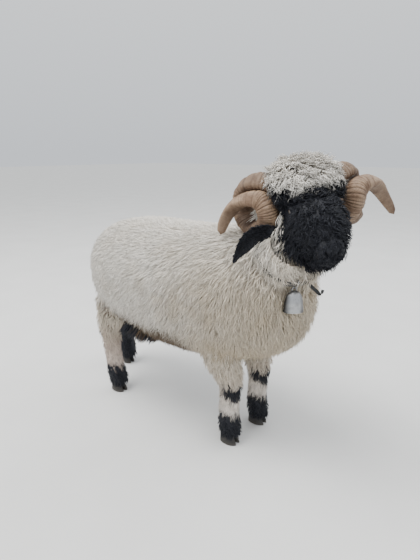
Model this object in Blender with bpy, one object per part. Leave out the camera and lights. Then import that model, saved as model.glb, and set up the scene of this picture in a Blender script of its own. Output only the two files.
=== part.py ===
"""A Valais Blacknose ram, life size, standing with its head turned to its right.

Metres, +Z up, +X towards the chest, +Y to the ram's left, origin on the ground under the middle
of its bounding box. Every piece is its own closed solid, 0.3 mm clear of its neighbours.
"""

import math
import random
from dataclasses import dataclass

import bmesh
import bpy
import numpy as np
from mathutils import Matrix, Vector
from mathutils.bvhtree import BVHTree

GAP = 0.0003
# How much larger than the piece itself its room in the wool is cut.
HORN_ROOM = 0.0030
EAR_ROOM = 0.0010
EYE_ROOM = 0.0006
LINK_ROOM = 0.0008
UP = Vector((0.0, 0.0, 1.0))

# The feet's middle stands this far from the middle of the ram's box.
STANCE = Vector((-0.1217, -0.020, 0.0))

# Torso at the tips of the fleece: station along X, back line, belly line, half width.
TORSO_STATIONS = (
    (-0.354, 0.590, 0.490, 0.055),
    (-0.342, 0.636, 0.435, 0.110),
    (-0.318, 0.697, 0.390, 0.150),
    (-0.250, 0.750, 0.340, 0.194),
    (-0.130, 0.773, 0.305, 0.226),
    (0.000, 0.773, 0.288, 0.242),
    (0.160, 0.774, 0.284, 0.238),
    (0.300, 0.785, 0.300, 0.222),
    (0.415, 0.770, 0.335, 0.193),
    (0.490, 0.715, 0.380, 0.158),
    (0.532, 0.650, 0.430, 0.116),
    (0.546, 0.600, 0.480, 0.060),
)
TORSO_SQUARENESS = 0.88
TORSO_SIDES = 20
TORSO_RINGS = 15

# Neck at the tips: middle of each ring, half width across, half depth fore and aft.
NECK_STATIONS = (
    ((0.340, 0.000, 0.540), 0.150, 0.165),
    ((0.410, -0.004, 0.635), 0.142, 0.158),
    ((0.462, -0.014, 0.725), 0.118, 0.140),
    ((0.495, -0.022, 0.800), 0.102, 0.120),
    ((0.512, -0.026, 0.860), 0.085, 0.095),
)
NECK_SIDES = 16

# The skull's own frame stands on the poll between the horns, its long axis down to the nose.
POLL = Vector((0.540, -0.029, 0.904))
HEAD_YAW = math.radians(-45)
HEAD_PITCH = math.radians(24)
HEAD_ROLL = math.radians(8)

# Skin of the head along its long axis: station, top, underside, half width.
HEAD_STATIONS = (
    (-0.062, -0.030, -0.105, 0.040),
    (-0.045, -0.004, -0.122, 0.054),
    (0.000, 0.014, -0.130, 0.064),
    (0.050, 0.022, -0.128, 0.067),
    (0.090, 0.020, -0.120, 0.064),
    (0.130, 0.012, -0.108, 0.053),
    (0.170, 0.002, -0.097, 0.044),
    (0.210, -0.010, -0.089, 0.040),
    (0.235, -0.020, -0.083, 0.035),
    (0.248, -0.034, -0.074, 0.024),
)
HEAD_SIDES = 20

# Depth of the wool round the nape, cheeks and jaw at the first stations of the skin.
FACE_WOOL = (0.026, 0.030, 0.026, 0.020, 0.024, 0.033, 0.032, 0.016)
JAW_WOOL_MIDDLE = (0.150, 0.000, -0.085)
JAW_WOOL_RADII = (0.085, 0.058, 0.060)
TOPKNOT_MIDDLE = (-0.005, -0.008, 0.010)
TOPKNOT_RADII = (0.100, 0.116, 0.082)

# The two lobes of the upper lip beside the cleft under the nose, and the lower lip.
UPPER_LIP_MIDDLE = (0.228, 0.015, -0.058)
UPPER_LIP_RADII = (0.022, 0.018, 0.013)
LOWER_LIP_MIDDLE = (0.206, 0.000, -0.086)
LOWER_LIP_RADII = (0.034, 0.030, 0.017)

EYE_RADIUS = 0.0135
EYE_PLACE = (0.090, 0.0575, -0.010)
EYE_PIT_RADIUS = 0.024
LID_RADIUS = 0.0172
# Half length, half depth and half height of the opening between the lids.
LID_OPENING = (0.0125, 0.0130, 0.0078)

# Horn centreline: angle turned in degrees, radius of the turn, distance out from the middle,
# radius of the horn. The turn goes up from the poll, back, down, forward, up again and out.
HORN_COURSE = (
    (55, 0.040, 0.045, 0.0300),
    (90, 0.068, 0.098, 0.0310),
    (130, 0.086, 0.140, 0.0310),
    (175, 0.090, 0.158, 0.0300),
    (220, 0.074, 0.146, 0.0295),
    (270, 0.052, 0.127, 0.0285),
    (315, 0.054, 0.112, 0.0275),
    (355, 0.058, 0.117, 0.0265),
    (400, 0.052, 0.132, 0.0250),
    (445, 0.050, 0.168, 0.0220),
    (485, 0.054, 0.206, 0.0180),
    (525, 0.060, 0.236, 0.0140),
    (555, 0.066, 0.256, 0.0100),
    (572, 0.070, 0.264, 0.0065),
)
HORN_TIP = (580, 0.071, 0.268)
HORN_CENTRE = (-0.050, -0.020)
HORN_LEAN = {"right": (0.02, -0.22), "left": (0.02, -0.27)}
HORN_SPREAD = {"right": 1.0, "left": 1.18}
# How much tighter the horn closes by its tip, past the angle where its last turn starts.
HORN_CLOSE = {"right": 0.82, "left": 1.0}
HORN_CLOSE_FROM, HORN_CLOSE_TO = 280.0, 430.0
HORN_ACROSS = 1.18
HORN_OUTWARD = 0.88
HORN_RIBS = 24
HORN_RIB_HEIGHT = 0.0018
HORN_SIDES = 10
HORN_ROOM_STEPS = 37

# Ears in the level frame of the poll, as on the ram's left: root, tips, and rows of share of length,
# half width, thickness and depth of its cup.
EAR_FACING = (0.90, 0.30, 0.00)
EAR_ROOTS = {"right": (0.025, 0.105, -0.100), "left": (-0.020, 0.075, -0.105)}
EAR_BENDS = {"right": (0.000, 0.172, -0.092), "left": (-0.060, 0.092, -0.140)}
EAR_TIPS = {"right": (0.010, 0.224, -0.170), "left": (-0.110, 0.110, -0.190)}
EAR_ROWS = (
    (0.00, 0.014, 0.012, 0.006),
    (0.18, 0.021, 0.009, 0.010),
    (0.42, 0.026, 0.008, 0.010),
    (0.66, 0.023, 0.007, 0.008),
    (0.86, 0.014, 0.006, 0.005),
    (1.00, 0.004, 0.005, 0.001),
)

# Feet: name, middle on the floor, whether it is a hind foot.
FEET = (
    ("front_right", Vector((0.333, -0.081, 0.0)), False),
    ("front_left", Vector((0.348, 0.081, 0.0)), False),
    ("hind_right", Vector((-0.254, -0.098, 0.0)), True),
    ("hind_left", Vector((-0.426, 0.099, 0.0)), True),
)
# Legs at the tips of the wool: height, forward of the foot, outward, half length, half width.
FRONT_LEG = (
    (0.440, -0.035, 0.015, 0.085, 0.062),
    (0.350, -0.035, 0.012, 0.078, 0.060),
    (0.290, -0.020, 0.006, 0.062, 0.055),
    (0.235, -0.004, 0.000, 0.050, 0.046),
    (0.190, -0.004, 0.000, 0.045, 0.043),
    (0.130, -0.006, 0.000, 0.046, 0.045),
    (0.075, -0.004, 0.000, 0.048, 0.047),
    (0.040, 0.004, 0.000, 0.044, 0.042),
)
HIND_LEG = (
    (0.460, 0.038, 0.010, 0.100, 0.070),
    (0.370, 0.006, 0.008, 0.074, 0.064),
    (0.300, -0.024, 0.004, 0.054, 0.052),
    (0.255, -0.032, 0.000, 0.047, 0.046),
    (0.180, -0.028, 0.000, 0.044, 0.043),
    (0.120, -0.020, 0.000, 0.047, 0.046),
    (0.070, -0.006, 0.000, 0.048, 0.048),
    (0.040, 0.002, 0.000, 0.044, 0.042),
)
LEFT_HIND_LEAN = 0.050
LEG_SIDES = 12
LOCK_FLOOR = 0.046
SEED = 7
BODY_TRIANGLES = 7700
LEG_TOP = 0.305
CORONET = 0.032

# Claw outline on the floor, forward and sideways from the cleft, and at the coronet.
CLAW_LENGTH = 0.062
CLAW_WIDTH = 0.027
CLAW_CLEFT = 0.0025
CLAW_SPLAY = math.radians(5)

TAIL_STATIONS = (
    ((-0.315, 0.0, 0.665), 0.042, 0.030),
    ((-0.350, 0.0, 0.630), 0.046, 0.030),
    ((-0.367, 0.0, 0.565), 0.046, 0.029),
    ((-0.369, 0.0, 0.495), 0.040, 0.026),
    ((-0.364, 0.0, 0.445), 0.026, 0.020),
)
TAIL_SIDES = 12

# Faces where the neck meets the head and the torso: a point and the way to the head.
HEAD_JOINT = (Vector((0.490, -0.040, 0.768)), Vector((0.53, -0.47, 0.70)))
NECK_JOINT = (Vector((0.425, 0.000, 0.655)), Vector((0.67, 0.0, 0.74)))
LEG_CELL_BACK = 0.135
LEG_CELL_FRONT = 0.095
LEG_CELL_OUT = 0.160
LEG_CELL_IN = 0.012
TAIL_CELL = (Vector((-0.60, -0.085, 0.40)), Vector((-0.357, 0.085, 0.70)))
FAR = 0.8

# Collar: the strap's middle, and its inner radii across the neck and fore and aft.
COLLAR_WIDTH = 0.024
COLLAR_THICKNESS = 0.0035
COLLAR_WAY = Vector((0.53, -0.47, 0.70))
COLLAR_MIDDLE = Vector((0.518, -0.063, 0.717))
COLLAR_RADII = (0.094, 0.097)
COLLAR_NAPE_RADIUS = 0.070
COLLAR_SIDES = 36
# The strap's loose end: how far round from the throat it hangs, its size, and its way out from
# the collar, towards the head and round the neck.
LOOSE_END_TURN = math.radians(25)
LOOSE_END_WIDTH = 0.011
LOOSE_END_THICKNESS = 0.0022
LOOSE_END_WAY = (
    (0.0000, 0.008, 0.000),
    (0.0000, -0.006, 0.000),
    (0.0040, -0.014, 0.002),
    (0.0150, -0.021, 0.008),
    (0.0280, -0.028, 0.015),
    (0.0370, -0.033, 0.021),
    (0.0390, -0.031, 0.027),
    (0.0340, -0.025, 0.033),
)
# The oval link round the collar that carries the bell, and the staple on the bell's crown.
LINK_HALF_LONG = 0.0210
LINK_HALF_DEEP = 0.0080
LINK_WIRE = 0.0016
LINK_SIDES = 6
STAPLE_RADIUS = 0.0066
STAPLE_LEG = 0.003
STAPLE_HANG = 0.0030

BELL_HEIGHT = 0.062
BELL_WALL = 0.0016
BELL_TURN = math.radians(-45)
# Bell outline: share of the height from the mouth, half width, half depth.
BELL_PROFILE = ((0.0, 0.0300, 0.0215), (0.35, 0.0285, 0.0205), (0.70, 0.0255, 0.0185),
                (0.90, 0.0215, 0.0155), (1.0, 0.0150, 0.0108))
BELL_SIDES = 20
BELL_RINGS = 7


@dataclass(frozen=True)
class Finish:
    """A material's name, colour, roughness and metallic value."""

    name: str
    colour: tuple
    roughness: float = 0.9
    metallic: float = 0.0


FLEECE = Finish("fleece", (0.78, 0.74, 0.67))
BLACK_WOOL = Finish("black_wool", (0.03, 0.03, 0.04))
HORN = Finish("horn", (0.62, 0.48, 0.35), 0.6)
CLAW = Finish("claw", (0.05, 0.045, 0.04), 0.5)
EYE = Finish("eye", (0.10, 0.06, 0.02), 0.1)
STRAP = Finish("strap", (0.03, 0.035, 0.04), 0.6)
STEEL = Finish("steel", (0.60, 0.61, 0.62), 0.35, 1.0)


@dataclass(frozen=True)
class Lock:
    """One size of clump: its length, half sizes, rise over the core, and how it is spread."""

    length: float
    half_width: float
    half_thick: float
    rise: float
    spacing: float
    tip_lift: float = 0.25


BODY_LOCK = Lock(0.165, 0.060, 0.0160, 0.022, 0.125)
NECK_LOCK = Lock(0.135, 0.048, 0.0150, 0.020, 0.105)
LEG_LOCK = Lock(0.085, 0.032, 0.0095, 0.011, 0.078)
TAIL_LOCK = Lock(0.100, 0.030, 0.0095, 0.010, 0.085)
FACE_CURL = Lock(0.056, 0.026, 0.0105, 0.012, 0.055, 0.45)
FORELOCK = Lock(0.105, 0.024, 0.0115, 0.024, 0.056, 0.80)
ROOT_SINK = 0.018
# A lock's rings: share of its length, of its rise, of its half width and of its half thickness.
LOCK_RINGS = ((0.0, -1.0, 0.75, 0.70), (0.32, 0.40, 1.0, 1.0), (0.66, 0.50, 0.88, 0.95),
              (0.91, 0.42, 0.46, 0.60))
LOCK_SIDES = 6
LOCK_STEPS = 5
COMB_REACH = 0.060


@dataclass(frozen=True)
class Section:
    """One ring of a loft: its middle, the ways to its side and top, and its half sizes."""

    middle: Vector
    side: Vector
    top: Vector
    half_width: float
    half_up: float
    half_down: float
    square: float = 1.0

    def point(self, angle):
        """The point on the ring at that angle from the side, towards the top."""
        c, s = math.cos(angle), math.sin(angle)
        out = math.copysign(abs(c) ** self.square, c) * self.half_width
        up = math.copysign(abs(s) ** self.square, s)
        up *= self.half_up if s > 0 else self.half_down
        return self.middle + self.side * out + self.top * up

    def grown(self, by):
        """The same ring with every half size larger by that much."""
        return Section(self.middle, self.side, self.top, self.half_width + by,
                       self.half_up + by, self.half_down + by, self.square)


def through(rows, count):
    """That many rows read evenly from a smooth curve through the given rows."""
    rows = np.array(rows, float)
    last = len(rows) - 1
    read = []
    for t in np.linspace(0, last, count):
        i = min(int(t), last - 1)
        f = t - i
        a, b = rows[max(i - 1, 0)], rows[i]
        c, d = rows[i + 1], rows[min(i + 2, last)]
        from_b, to_c = (c - a) / 2, (d - b) / 2
        read.append(b * (2 * f**3 - 3 * f**2 + 1) + from_b * (f**3 - 2 * f**2 + f)
                    + c * (3 * f**2 - 2 * f**3) + to_c * (f**3 - f**2))
    return np.array(read)


def skull_frame(pitch=HEAD_PITCH):
    """The matrix from the skull's own frame (along, left, up) to the ram's."""
    level = Vector((math.cos(HEAD_YAW), math.sin(HEAD_YAW), 0))
    left = Vector((-math.sin(HEAD_YAW), math.cos(HEAD_YAW), 0))
    along = level * math.cos(pitch) - UP * math.sin(pitch)
    up = level * math.sin(pitch) + UP * math.cos(pitch)
    rolled_left = left * math.cos(HEAD_ROLL) + up * math.sin(HEAD_ROLL)
    rolled_up = up * math.cos(HEAD_ROLL) - left * math.sin(HEAD_ROLL)
    frame = Matrix((along, rolled_left, rolled_up)).transposed().to_4x4()
    frame.translation = POLL
    return frame


def material(finish):
    """The Principled material of that finish, made once."""
    made = bpy.data.materials.get(finish.name)
    if made is None:
        made = bpy.data.materials.new(finish.name)
        made.use_nodes = True
        shader = made.node_tree.nodes["Principled BSDF"]
        shader.inputs["Base Color"].default_value = (*finish.colour, 1.0)
        shader.inputs["Roughness"].default_value = finish.roughness
        shader.inputs["Metallic"].default_value = finish.metallic
    return made


def finished(bm, name, finish, frame=None):
    """The object of a bmesh, moved by the frame if there is one."""
    bmesh.ops.recalc_face_normals(bm, faces=bm.faces)
    if frame is not None:
        bmesh.ops.transform(bm, matrix=frame, verts=bm.verts)
    mesh = bpy.data.meshes.new(name)
    bm.to_mesh(mesh)
    bm.free()
    mesh.materials.append(material(finish))
    made = bpy.data.objects.new(name, mesh)
    bpy.context.scene.collection.objects.link(made)
    return made


def rings_bmesh(rings, tip=None, closed=False):
    """A bmesh bridged through rings of points, capped, drawn to a tip, or closed on itself."""
    bm = bmesh.new()
    made = []
    for ring in rings:
        circle = bmesh.ops.create_circle(bm, segments=len(ring), radius=1.0)["verts"]
        for vert, point in zip(circle, ring):
            vert.co = point
        made.append(circle)
    pairs = list(zip(made, made[1:]))
    if closed:
        pairs.append((made[-1], made[0]))
    for first, second in pairs:
        for i, vert in enumerate(first):
            j = (i + 1) % len(first)
            bm.faces.new((vert, first[j], second[j], second[i]))
    if not closed:
        bm.faces.new(made[0])
        if tip is None:
            bm.faces.new(made[-1])
        else:
            end = bm.verts.new(tip)
            for i, vert in enumerate(made[-1]):
                bm.faces.new((vert, made[-1][(i + 1) % len(made[-1])], end))
    return bm


def loft(name, sections, sides, finish, frame=None):
    """A closed object through the sections."""
    turns = [2 * math.pi * i / sides for i in range(sides)]
    rings = [[section.point(angle) for angle in turns] for section in sections]
    return finished(rings_bmesh(rings), name, finish, frame)


def box(name, low, high, frame=None):
    """A closed box between two corners."""
    bm = bmesh.new()
    bmesh.ops.create_cube(bm, size=1.0)
    size = high - low
    bmesh.ops.scale(bm, vec=size, verts=bm.verts)
    bmesh.ops.translate(bm, vec=(low + high) / 2, verts=bm.verts)
    return finished(bm, name, FLEECE, frame)


def ball(name, middle, radii, finish, frame=None, segments=14, rings=8):
    """A closed ellipsoid."""
    bm = bmesh.new()
    bmesh.ops.create_uvsphere(bm, u_segments=segments, v_segments=rings, radius=1.0)
    bmesh.ops.scale(bm, vec=radii, verts=bm.verts)
    bmesh.ops.translate(bm, vec=middle, verts=bm.verts)
    return finished(bm, name, finish, frame)


def core_ball(name, middle, radii, depth):
    """A ball of wool in the skull's frame, drawn in by the depth of its locks."""
    inner = tuple(radius - depth for radius in radii)
    return ball(name, middle, inner, BLACK_WOOL, skull_frame(), 20, 12)


def half_space(name, point, way, offset):
    """A large box that fills the space beyond a plane, from that far along its way."""
    turn = way.to_track_quat("Z", "Y").to_matrix().to_4x4()
    turn.translation = point + way.normalized() * offset
    return box(name, Vector((-FAR, -FAR, 0)), Vector((FAR, FAR, 2 * FAR)), turn)


def remove(obj):
    """Takes an object and its mesh out of the file."""
    mesh = obj.data
    bpy.data.objects.remove(obj)
    bpy.data.meshes.remove(mesh)


def largest_surface(obj):
    """Keeps only the object's largest closed surface."""
    bm = bmesh.new()
    bm.from_mesh(obj.data)
    left = set(bm.faces)
    pieces = []
    while left:
        stack = [left.pop()]
        piece = set(stack)
        while stack:
            for edge in stack.pop().edges:
                for face in edge.link_faces:
                    if face in left:
                        left.discard(face)
                        piece.add(face)
                        stack.append(face)
        pieces.append(piece)
    pieces.sort(key=lambda piece: sum(face.calc_area() for face in piece))
    drop = [face for piece in pieces[:-1] for face in piece]
    bmesh.ops.delete(bm, geom=drop, context="FACES")
    bmesh.ops.triangulate(bm, faces=bm.faces)
    bm.to_mesh(obj.data)
    bm.free()


def boolean(base, operation, pieces, solver="MANIFOLD"):
    """Changes base by one Boolean with all the pieces, which are then removed."""
    group = bpy.data.collections.new("pieces")
    bpy.context.scene.collection.children.link(group)
    for piece in pieces:
        group.objects.link(piece)
    change = base.modifiers.new("join", "BOOLEAN")
    change.operation = operation
    change.operand_type = "COLLECTION"
    change.collection = group
    change.solver = solver
    depsgraph = bpy.context.evaluated_depsgraph_get()
    mesh = bpy.data.meshes.new_from_object(base.evaluated_get(depsgraph))
    base.modifiers.clear()
    before = base.data
    base.data = mesh
    bpy.data.meshes.remove(before)
    for piece in pieces:
        remove(piece)
    bpy.data.collections.remove(group)


def thinned(obj, triangles):
    """Merges the object's smallest faces until about that many triangles are left."""
    bm = bmesh.new()
    bm.from_mesh(obj.data)
    bmesh.ops.triangulate(bm, faces=bm.faces)
    count = len(bm.faces)
    bm.to_mesh(obj.data)
    bm.free()
    thin = obj.modifiers.new("thin", "DECIMATE")
    thin.ratio = min(1.0, triangles / count)
    depsgraph = bpy.context.evaluated_depsgraph_get()
    mesh = bpy.data.meshes.new_from_object(obj.evaluated_get(depsgraph))
    obj.modifiers.clear()
    before = obj.data
    obj.data = mesh
    bpy.data.meshes.remove(before)


def copied(obj, name):
    """A copy of the object with a mesh of its own."""
    made = bpy.data.objects.new(name, obj.data.copy())
    bpy.context.scene.collection.objects.link(made)
    return made


def torso_sections(count, grow=0.0):
    """Rings of the torso along X."""
    made = []
    for x, back, belly, half in through(TORSO_STATIONS, count):
        middle = belly + 0.52 * (back - belly)
        ring = Section(Vector((x, 0, middle)), Vector((0, 1, 0)), UP, half, back - middle,
                       middle - belly, TORSO_SQUARENESS)
        made.append(ring.grown(grow))
    return made


def column_sections(stations, count, grow=0.0):
    """Rings round a bent column from its stations."""
    rows = through([(*middle, wide, deep) for middle, wide, deep in stations], count)
    made = []
    for i, row in enumerate(rows):
        ahead = rows[min(i + 1, count - 1)][:3] - rows[max(i - 1, 0)][:3]
        way = Vector(ahead).normalized()
        side = way.cross(UP).normalized() if abs(way.z) < 0.999 else Vector((0, 1, 0))
        side = side if side.y > 0 else -side
        ring = Section(Vector(row[:3]), side, way.cross(side).normalized(), row[3], row[4], row[4])
        made.append(ring.grown(grow))
    return made


def leg_sections(foot, hind, count, grow=0.0):
    """Rings of one leg from inside the torso down to the coronet."""
    outward = math.copysign(1, foot.y)
    lean = LEFT_HIND_LEAN if hind and foot.y > 0 else 0.0
    made = []
    for z, ahead, out, long, wide in through(HIND_LEG if hind else FRONT_LEG, count):
        middle = foot + Vector((ahead + lean * z / LEG_TOP, out * outward, z))
        ring = Section(middle, Vector((0, 1, 0)), Vector((1, 0, 0)), wide, long, long, 0.95)
        made.append(ring.grown(grow))
    foot_ring = made[-1]
    last = foot_ring.middle.copy()
    last.z = CORONET + GAP
    made.append(Section(last, foot_ring.side, foot_ring.top, foot_ring.half_width - 0.004,
                        foot_ring.half_up - 0.004, foot_ring.half_down - 0.004, 0.95))
    return made


def head_sections(rows):
    """Rings of the head in the skull's own frame."""
    made = []
    for along, top, under, half in rows:
        middle = top - 0.46 * (top - under)
        made.append(Section(Vector((along, 0, middle)), Vector((0, 1, 0)), UP, half,
                            top - middle, middle - under, 0.92))
    return made


def face_wool_sections(count, grow=0.0):
    """Rings of the wool round the head."""
    depths = through([(depth,) for depth in FACE_WOOL], count)[:, 0]
    stations = through(HEAD_STATIONS[:len(FACE_WOOL)], count)
    return [ring.grown(depth + grow) for ring, depth in zip(head_sections(stations), depths)]


def crown_sections():
    """Rings of the topknot from its crown down, at the tips of its locks."""
    made = []
    for turn in (16, 36, 56, 76):
        up, out = math.sin(math.radians(90 - turn)), math.cos(math.radians(90 - turn))
        middle = Vector(TOPKNOT_MIDDLE) + UP * (TOPKNOT_RADII[2] * up)
        made.append(Section(middle, Vector((0, 1, 0)), Vector((1, 0, 0)), TOPKNOT_RADII[1] * out,
                            TOPKNOT_RADII[0] * out, TOPKNOT_RADII[0] * out))
    return made


def fleece_lie(point, normal):
    """The way the fleece hangs at a point: down, a little back, and parted along the spine."""
    crest = max(normal.z, 0.0)
    return flattened(Vector((-0.40 - crest ** 4, math.copysign(0.45 * crest, point.y), -1.0)), normal)


def leg_lie(point, normal):
    """The way the wool of the legs and tail hangs."""
    return flattened(Vector((-0.10, 0.0, -1.0)), normal)


def face_lie(point, normal):
    """The way the curls of the face lie: down and towards the nose."""
    along = skull_frame().to_3x3() @ Vector((1.0, 0.0, 0.0))
    return flattened(along * 0.5 - UP, normal)


def crown_lie(point, normal):
    """The way the forelock falls: out from the crown and over the forehead."""
    frame = skull_frame()
    crown = frame @ Vector(TOPKNOT_MIDDLE)
    along = frame.to_3x3() @ Vector((1.0, 0.0, 0.0))
    out = (point - crown).normalized()
    return flattened(out + along * 0.35 - UP * 0.9, normal)


def flattened(way, normal):
    """The way laid into the surface with that normal."""
    return (way - normal * way.dot(normal)).normalized()


def tree_of(forms):
    """One search tree over all the faces of the forms."""
    points, faces = [], []
    for form in forms:
        start = len(points)
        points += [vert.co.copy() for vert in form.data.vertices]
        faces += [[start + i for i in face.vertices] for face in form.data.polygons]
    return BVHTree.FromPolygons(points, faces)


def drawn_in(sections, ends):
    """The middle of each ring, or of the ring that many in from an end."""
    last = len(sections) - 1 - ends
    return [sections[min(max(i, ends), last)].middle for i in range(len(sections))]


def roots(tree, sections, hubs, size, frame, chance):
    """Evenly spread roots on the core under the rings, with the normal of the core at each."""
    made = []
    for i, (ring, hub) in enumerate(zip(sections, hubs)):
        outline = [ring.point(2 * math.pi * k / 24) for k in range(24)]
        girth = sum((b - a).length for a, b in zip(outline, outline[1:] + outline[:1]))
        count = max(3, round(girth / size.spacing))
        for k in range(count):
            turn = 2 * math.pi * (k + 0.5 * (i % 2) + chance.uniform(-0.15, 0.15)) / count
            tip = frame @ ring.point(turn)
            inward = (frame @ hub - tip).normalized()
            hit, normal, _, distance = tree.ray_cast(tip - inward * COMB_REACH, inward)
            if hit is not None and 0 < distance - COMB_REACH < size.rise * 2.5:
                made.append((hit, normal if normal.dot(inward) < 0 else -normal))
    return made


def comb(tree, point, normal, lie, length):
    """Points and normals along the core from a root, each step taken along the lie."""
    path = [(point, normal)]
    for _ in range(LOCK_STEPS):
        ahead = point + lie(point, normal) * (length / LOCK_STEPS)
        hit, met, _, _ = tree.ray_cast(ahead + normal * COMB_REACH, -normal, 2 * COMB_REACH)
        point = ahead if hit is None else hit
        if met is not None:
            normal = (normal + met * (1 if met.dot(normal) > 0 else -1)).normalized()
        path.append((point, normal))
    return path


def lock(tree, root, lie, size, chance):
    """One flat tapered lock that follows the core along the lie."""
    scale = chance.uniform(0.88, 1.12)
    path = comb(tree, *root, lie, min(size.length * scale, root[0].z - LOCK_FLOOR))
    rings = []
    for share, rise, width, thick in LOCK_RINGS:
        i = share * LOCK_STEPS
        near = min(int(i), LOCK_STEPS - 1)
        point = path[near][0].lerp(path[near + 1][0], i - near)
        normal = path[near][1].lerp(path[near + 1][1], i - near).normalized()
        across = normal.cross(path[near + 1][0] - path[near][0]).normalized()
        height = -ROOT_SINK if rise < 0 else size.rise * rise * scale
        middle = point + normal * height
        rings.append([middle + across * (size.half_width * width * scale * math.cos(turn))
                      + normal * (size.half_thick * thick * scale * math.sin(turn))
                      for turn in (2 * math.pi * k / LOCK_SIDES for k in range(LOCK_SIDES))])
    tip = path[-1][0] + path[-1][1] * (size.rise * size.tip_lift * scale)
    return finished(rings_bmesh(rings, tip), "lock", FLEECE)


def coat(cores):
    """All the locks over the cores, each sunk into them at its root."""
    tree = tree_of(cores)
    chance = random.Random(SEED)
    level, skull = Matrix.Identity(4), skull_frame()
    body, neck = torso_sections(9), column_sections(NECK_STATIONS, 5)
    tail, face = column_sections(TAIL_STATIONS, 4), face_wool_sections(6)
    crown = crown_sections()
    spread = [(body, drawn_in(body, 1), BODY_LOCK, level, fleece_lie),
              (neck, drawn_in(neck, 0), NECK_LOCK, level, fleece_lie),
              (tail, drawn_in(tail, 0), TAIL_LOCK, level, leg_lie),
              (face, drawn_in(face, 0), FACE_CURL, skull, face_lie),
              (crown, [Vector(TOPKNOT_MIDDLE)] * len(crown), FORELOCK, skull, crown_lie)]
    for _, foot, hind in FEET:
        leg = leg_sections(foot, hind, 7)[1:-2]
        spread.append((leg, drawn_in(leg, 0), LEG_LOCK, level, leg_lie))
    made = []
    for sections, hubs, size, frame, lie in spread:
        for root in roots(tree, sections, hubs, size, frame, chance):
            made.append(lock(tree, root, lie, size, chance))
    return made


def horn_point(angle, turn_radius, out, side):
    """A point of the horn's course in the level frame of the poll."""
    turn = math.radians(angle)
    word = "left" if side > 0 else "right"
    lean = HORN_LEAN[word]
    late = min(1.0, max(0.0, (angle - HORN_CLOSE_FROM) / (HORN_CLOSE_TO - HORN_CLOSE_FROM)))
    turn_radius *= 1 + (HORN_CLOSE[word] - 1) * late
    out *= 1 + (HORN_CLOSE[word] - 1) * late * 0.5
    ahead = HORN_CENTRE[0] + turn_radius * math.cos(turn) + lean[0] * out
    up = HORN_CENTRE[1] + turn_radius * math.sin(turn) + lean[1] * out
    return Vector((ahead, out * side * HORN_SPREAD[word], up))


def horn(name, side, grow=0.0):
    """One ribbed horn, a spiral drawn to its tip."""
    steps = HORN_ROOM_STEPS if grow else 2 * HORN_RIBS + 1
    rows = through(HORN_COURSE, steps)
    course = [horn_point(angle, turn, out, side) for angle, turn, out, _ in rows]
    tip = horn_point(*HORN_TIP, side)
    rings = []
    for i, (angle, _, out, radius) in enumerate(rows):
        ahead = (course[min(i + 1, steps - 1)] - course[max(i - 1, 0)]).normalized()
        hub = horn_point(angle, 0.0, out, side)
        outward = (course[i] - hub).normalized()
        outward = (outward - ahead * outward.dot(ahead)).normalized()
        across = ahead.cross(outward)
        rib = HORN_RIB_HEIGHT * (1 - i / steps) * (1 if i % 2 or grow else -1)
        ring = []
        for k in range(HORN_SIDES):
            turn = 2 * math.pi * k / HORN_SIDES
            reach = radius * (1 + 0.08 * math.cos(3 * turn)) + rib + grow
            ring.append(course[i] + outward * (reach * HORN_OUTWARD * math.cos(turn))
                        + across * (reach * HORN_ACROSS * math.sin(turn)))
        if i == 0 and grow:
            ring = [point - ahead * grow for point in ring]
        rings.append(ring)
    end = tip + (tip - course[-1]).normalized() * grow * 2
    bm = rings_bmesh(rings, end)
    return finished(bm, name, HORN, skull_frame(0.0))


def ear(name, side, grow=0.0):
    """One leaf-shaped ear with a cupped face."""
    word = "left" if side > 0 else "right"
    root, bend, tip = (Vector(places[word]) for places in (EAR_ROOTS, EAR_BENDS, EAR_TIPS))
    rings = []
    rows = through(EAR_ROWS, 9)
    for share, half, thick, cup in rows:
        middle = root.lerp(bend, share).lerp(bend.lerp(tip, share), share)
        way = (bend - root).lerp(tip - bend, share).normalized()
        across = way.cross(Vector(EAR_FACING)).normalized()
        face = across.cross(way).normalized()
        back, front = [], []
        for k in range(7):
            t = -1 + k / 3
            bow = cup * t * t
            edge = math.sqrt(max(0.0, 1 - t * t * 0.92))
            at = middle + across * t * (half + grow)
            back.append(at + face * (bow - (thick * edge / 2 + grow)))
            front.append(at + face * (bow + (thick * edge / 2 + grow)))
        rings.append(back + front[::-1])
    rings[0] = [point - (bend - root).normalized() * grow for point in rings[0]]
    rings[-1] = [point + (tip - bend).normalized() * grow for point in rings[-1]]
    bm = rings_bmesh(rings)
    if side < 0:
        bmesh.ops.scale(bm, vec=(1, -1, 1), verts=bm.verts)
    return finished(bm, name, BLACK_WOOL, skull_frame(0.0))


def eye(name, side, grow=0.0):
    """One eyeball."""
    along, out, up = EYE_PLACE
    return ball(name, (along, out * side, up), (EYE_RADIUS + grow,) * 3, EYE, skull_frame())


def eye_pit(side):
    """The clearing in the wool before one eye, as a cutter."""
    along, out, up = EYE_PLACE
    middle = (along + 0.010, (out + 0.040) * side, up)
    return ball("eye_pit", middle, (EYE_PIT_RADIUS, 0.040, EYE_PIT_RADIUS * 0.8), BLACK_WOOL,
                skull_frame(), 12, 8)


def lids(side):
    """Both lids round one eye, still closed."""
    along, out, up = EYE_PLACE
    return ball("lids", (along, out * side, up), (LID_RADIUS,) * 3, BLACK_WOOL, skull_frame(), 12, 8)


def lid_opening(side):
    """The opening between the lids of one eye, as a cutter."""
    along, out, up = EYE_PLACE
    middle = (along, (out + LID_OPENING[1]) * side, up)
    return ball("lid_opening", middle, LID_OPENING, BLACK_WOOL, skull_frame(), 10, 6)


def nostril(side):
    """One nostril as a cutter."""
    return ball("nostril", (0.244, 0.016 * side, -0.040), (0.010, 0.0055, 0.008), BLACK_WOOL,
                skull_frame(), 8, 6)


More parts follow.
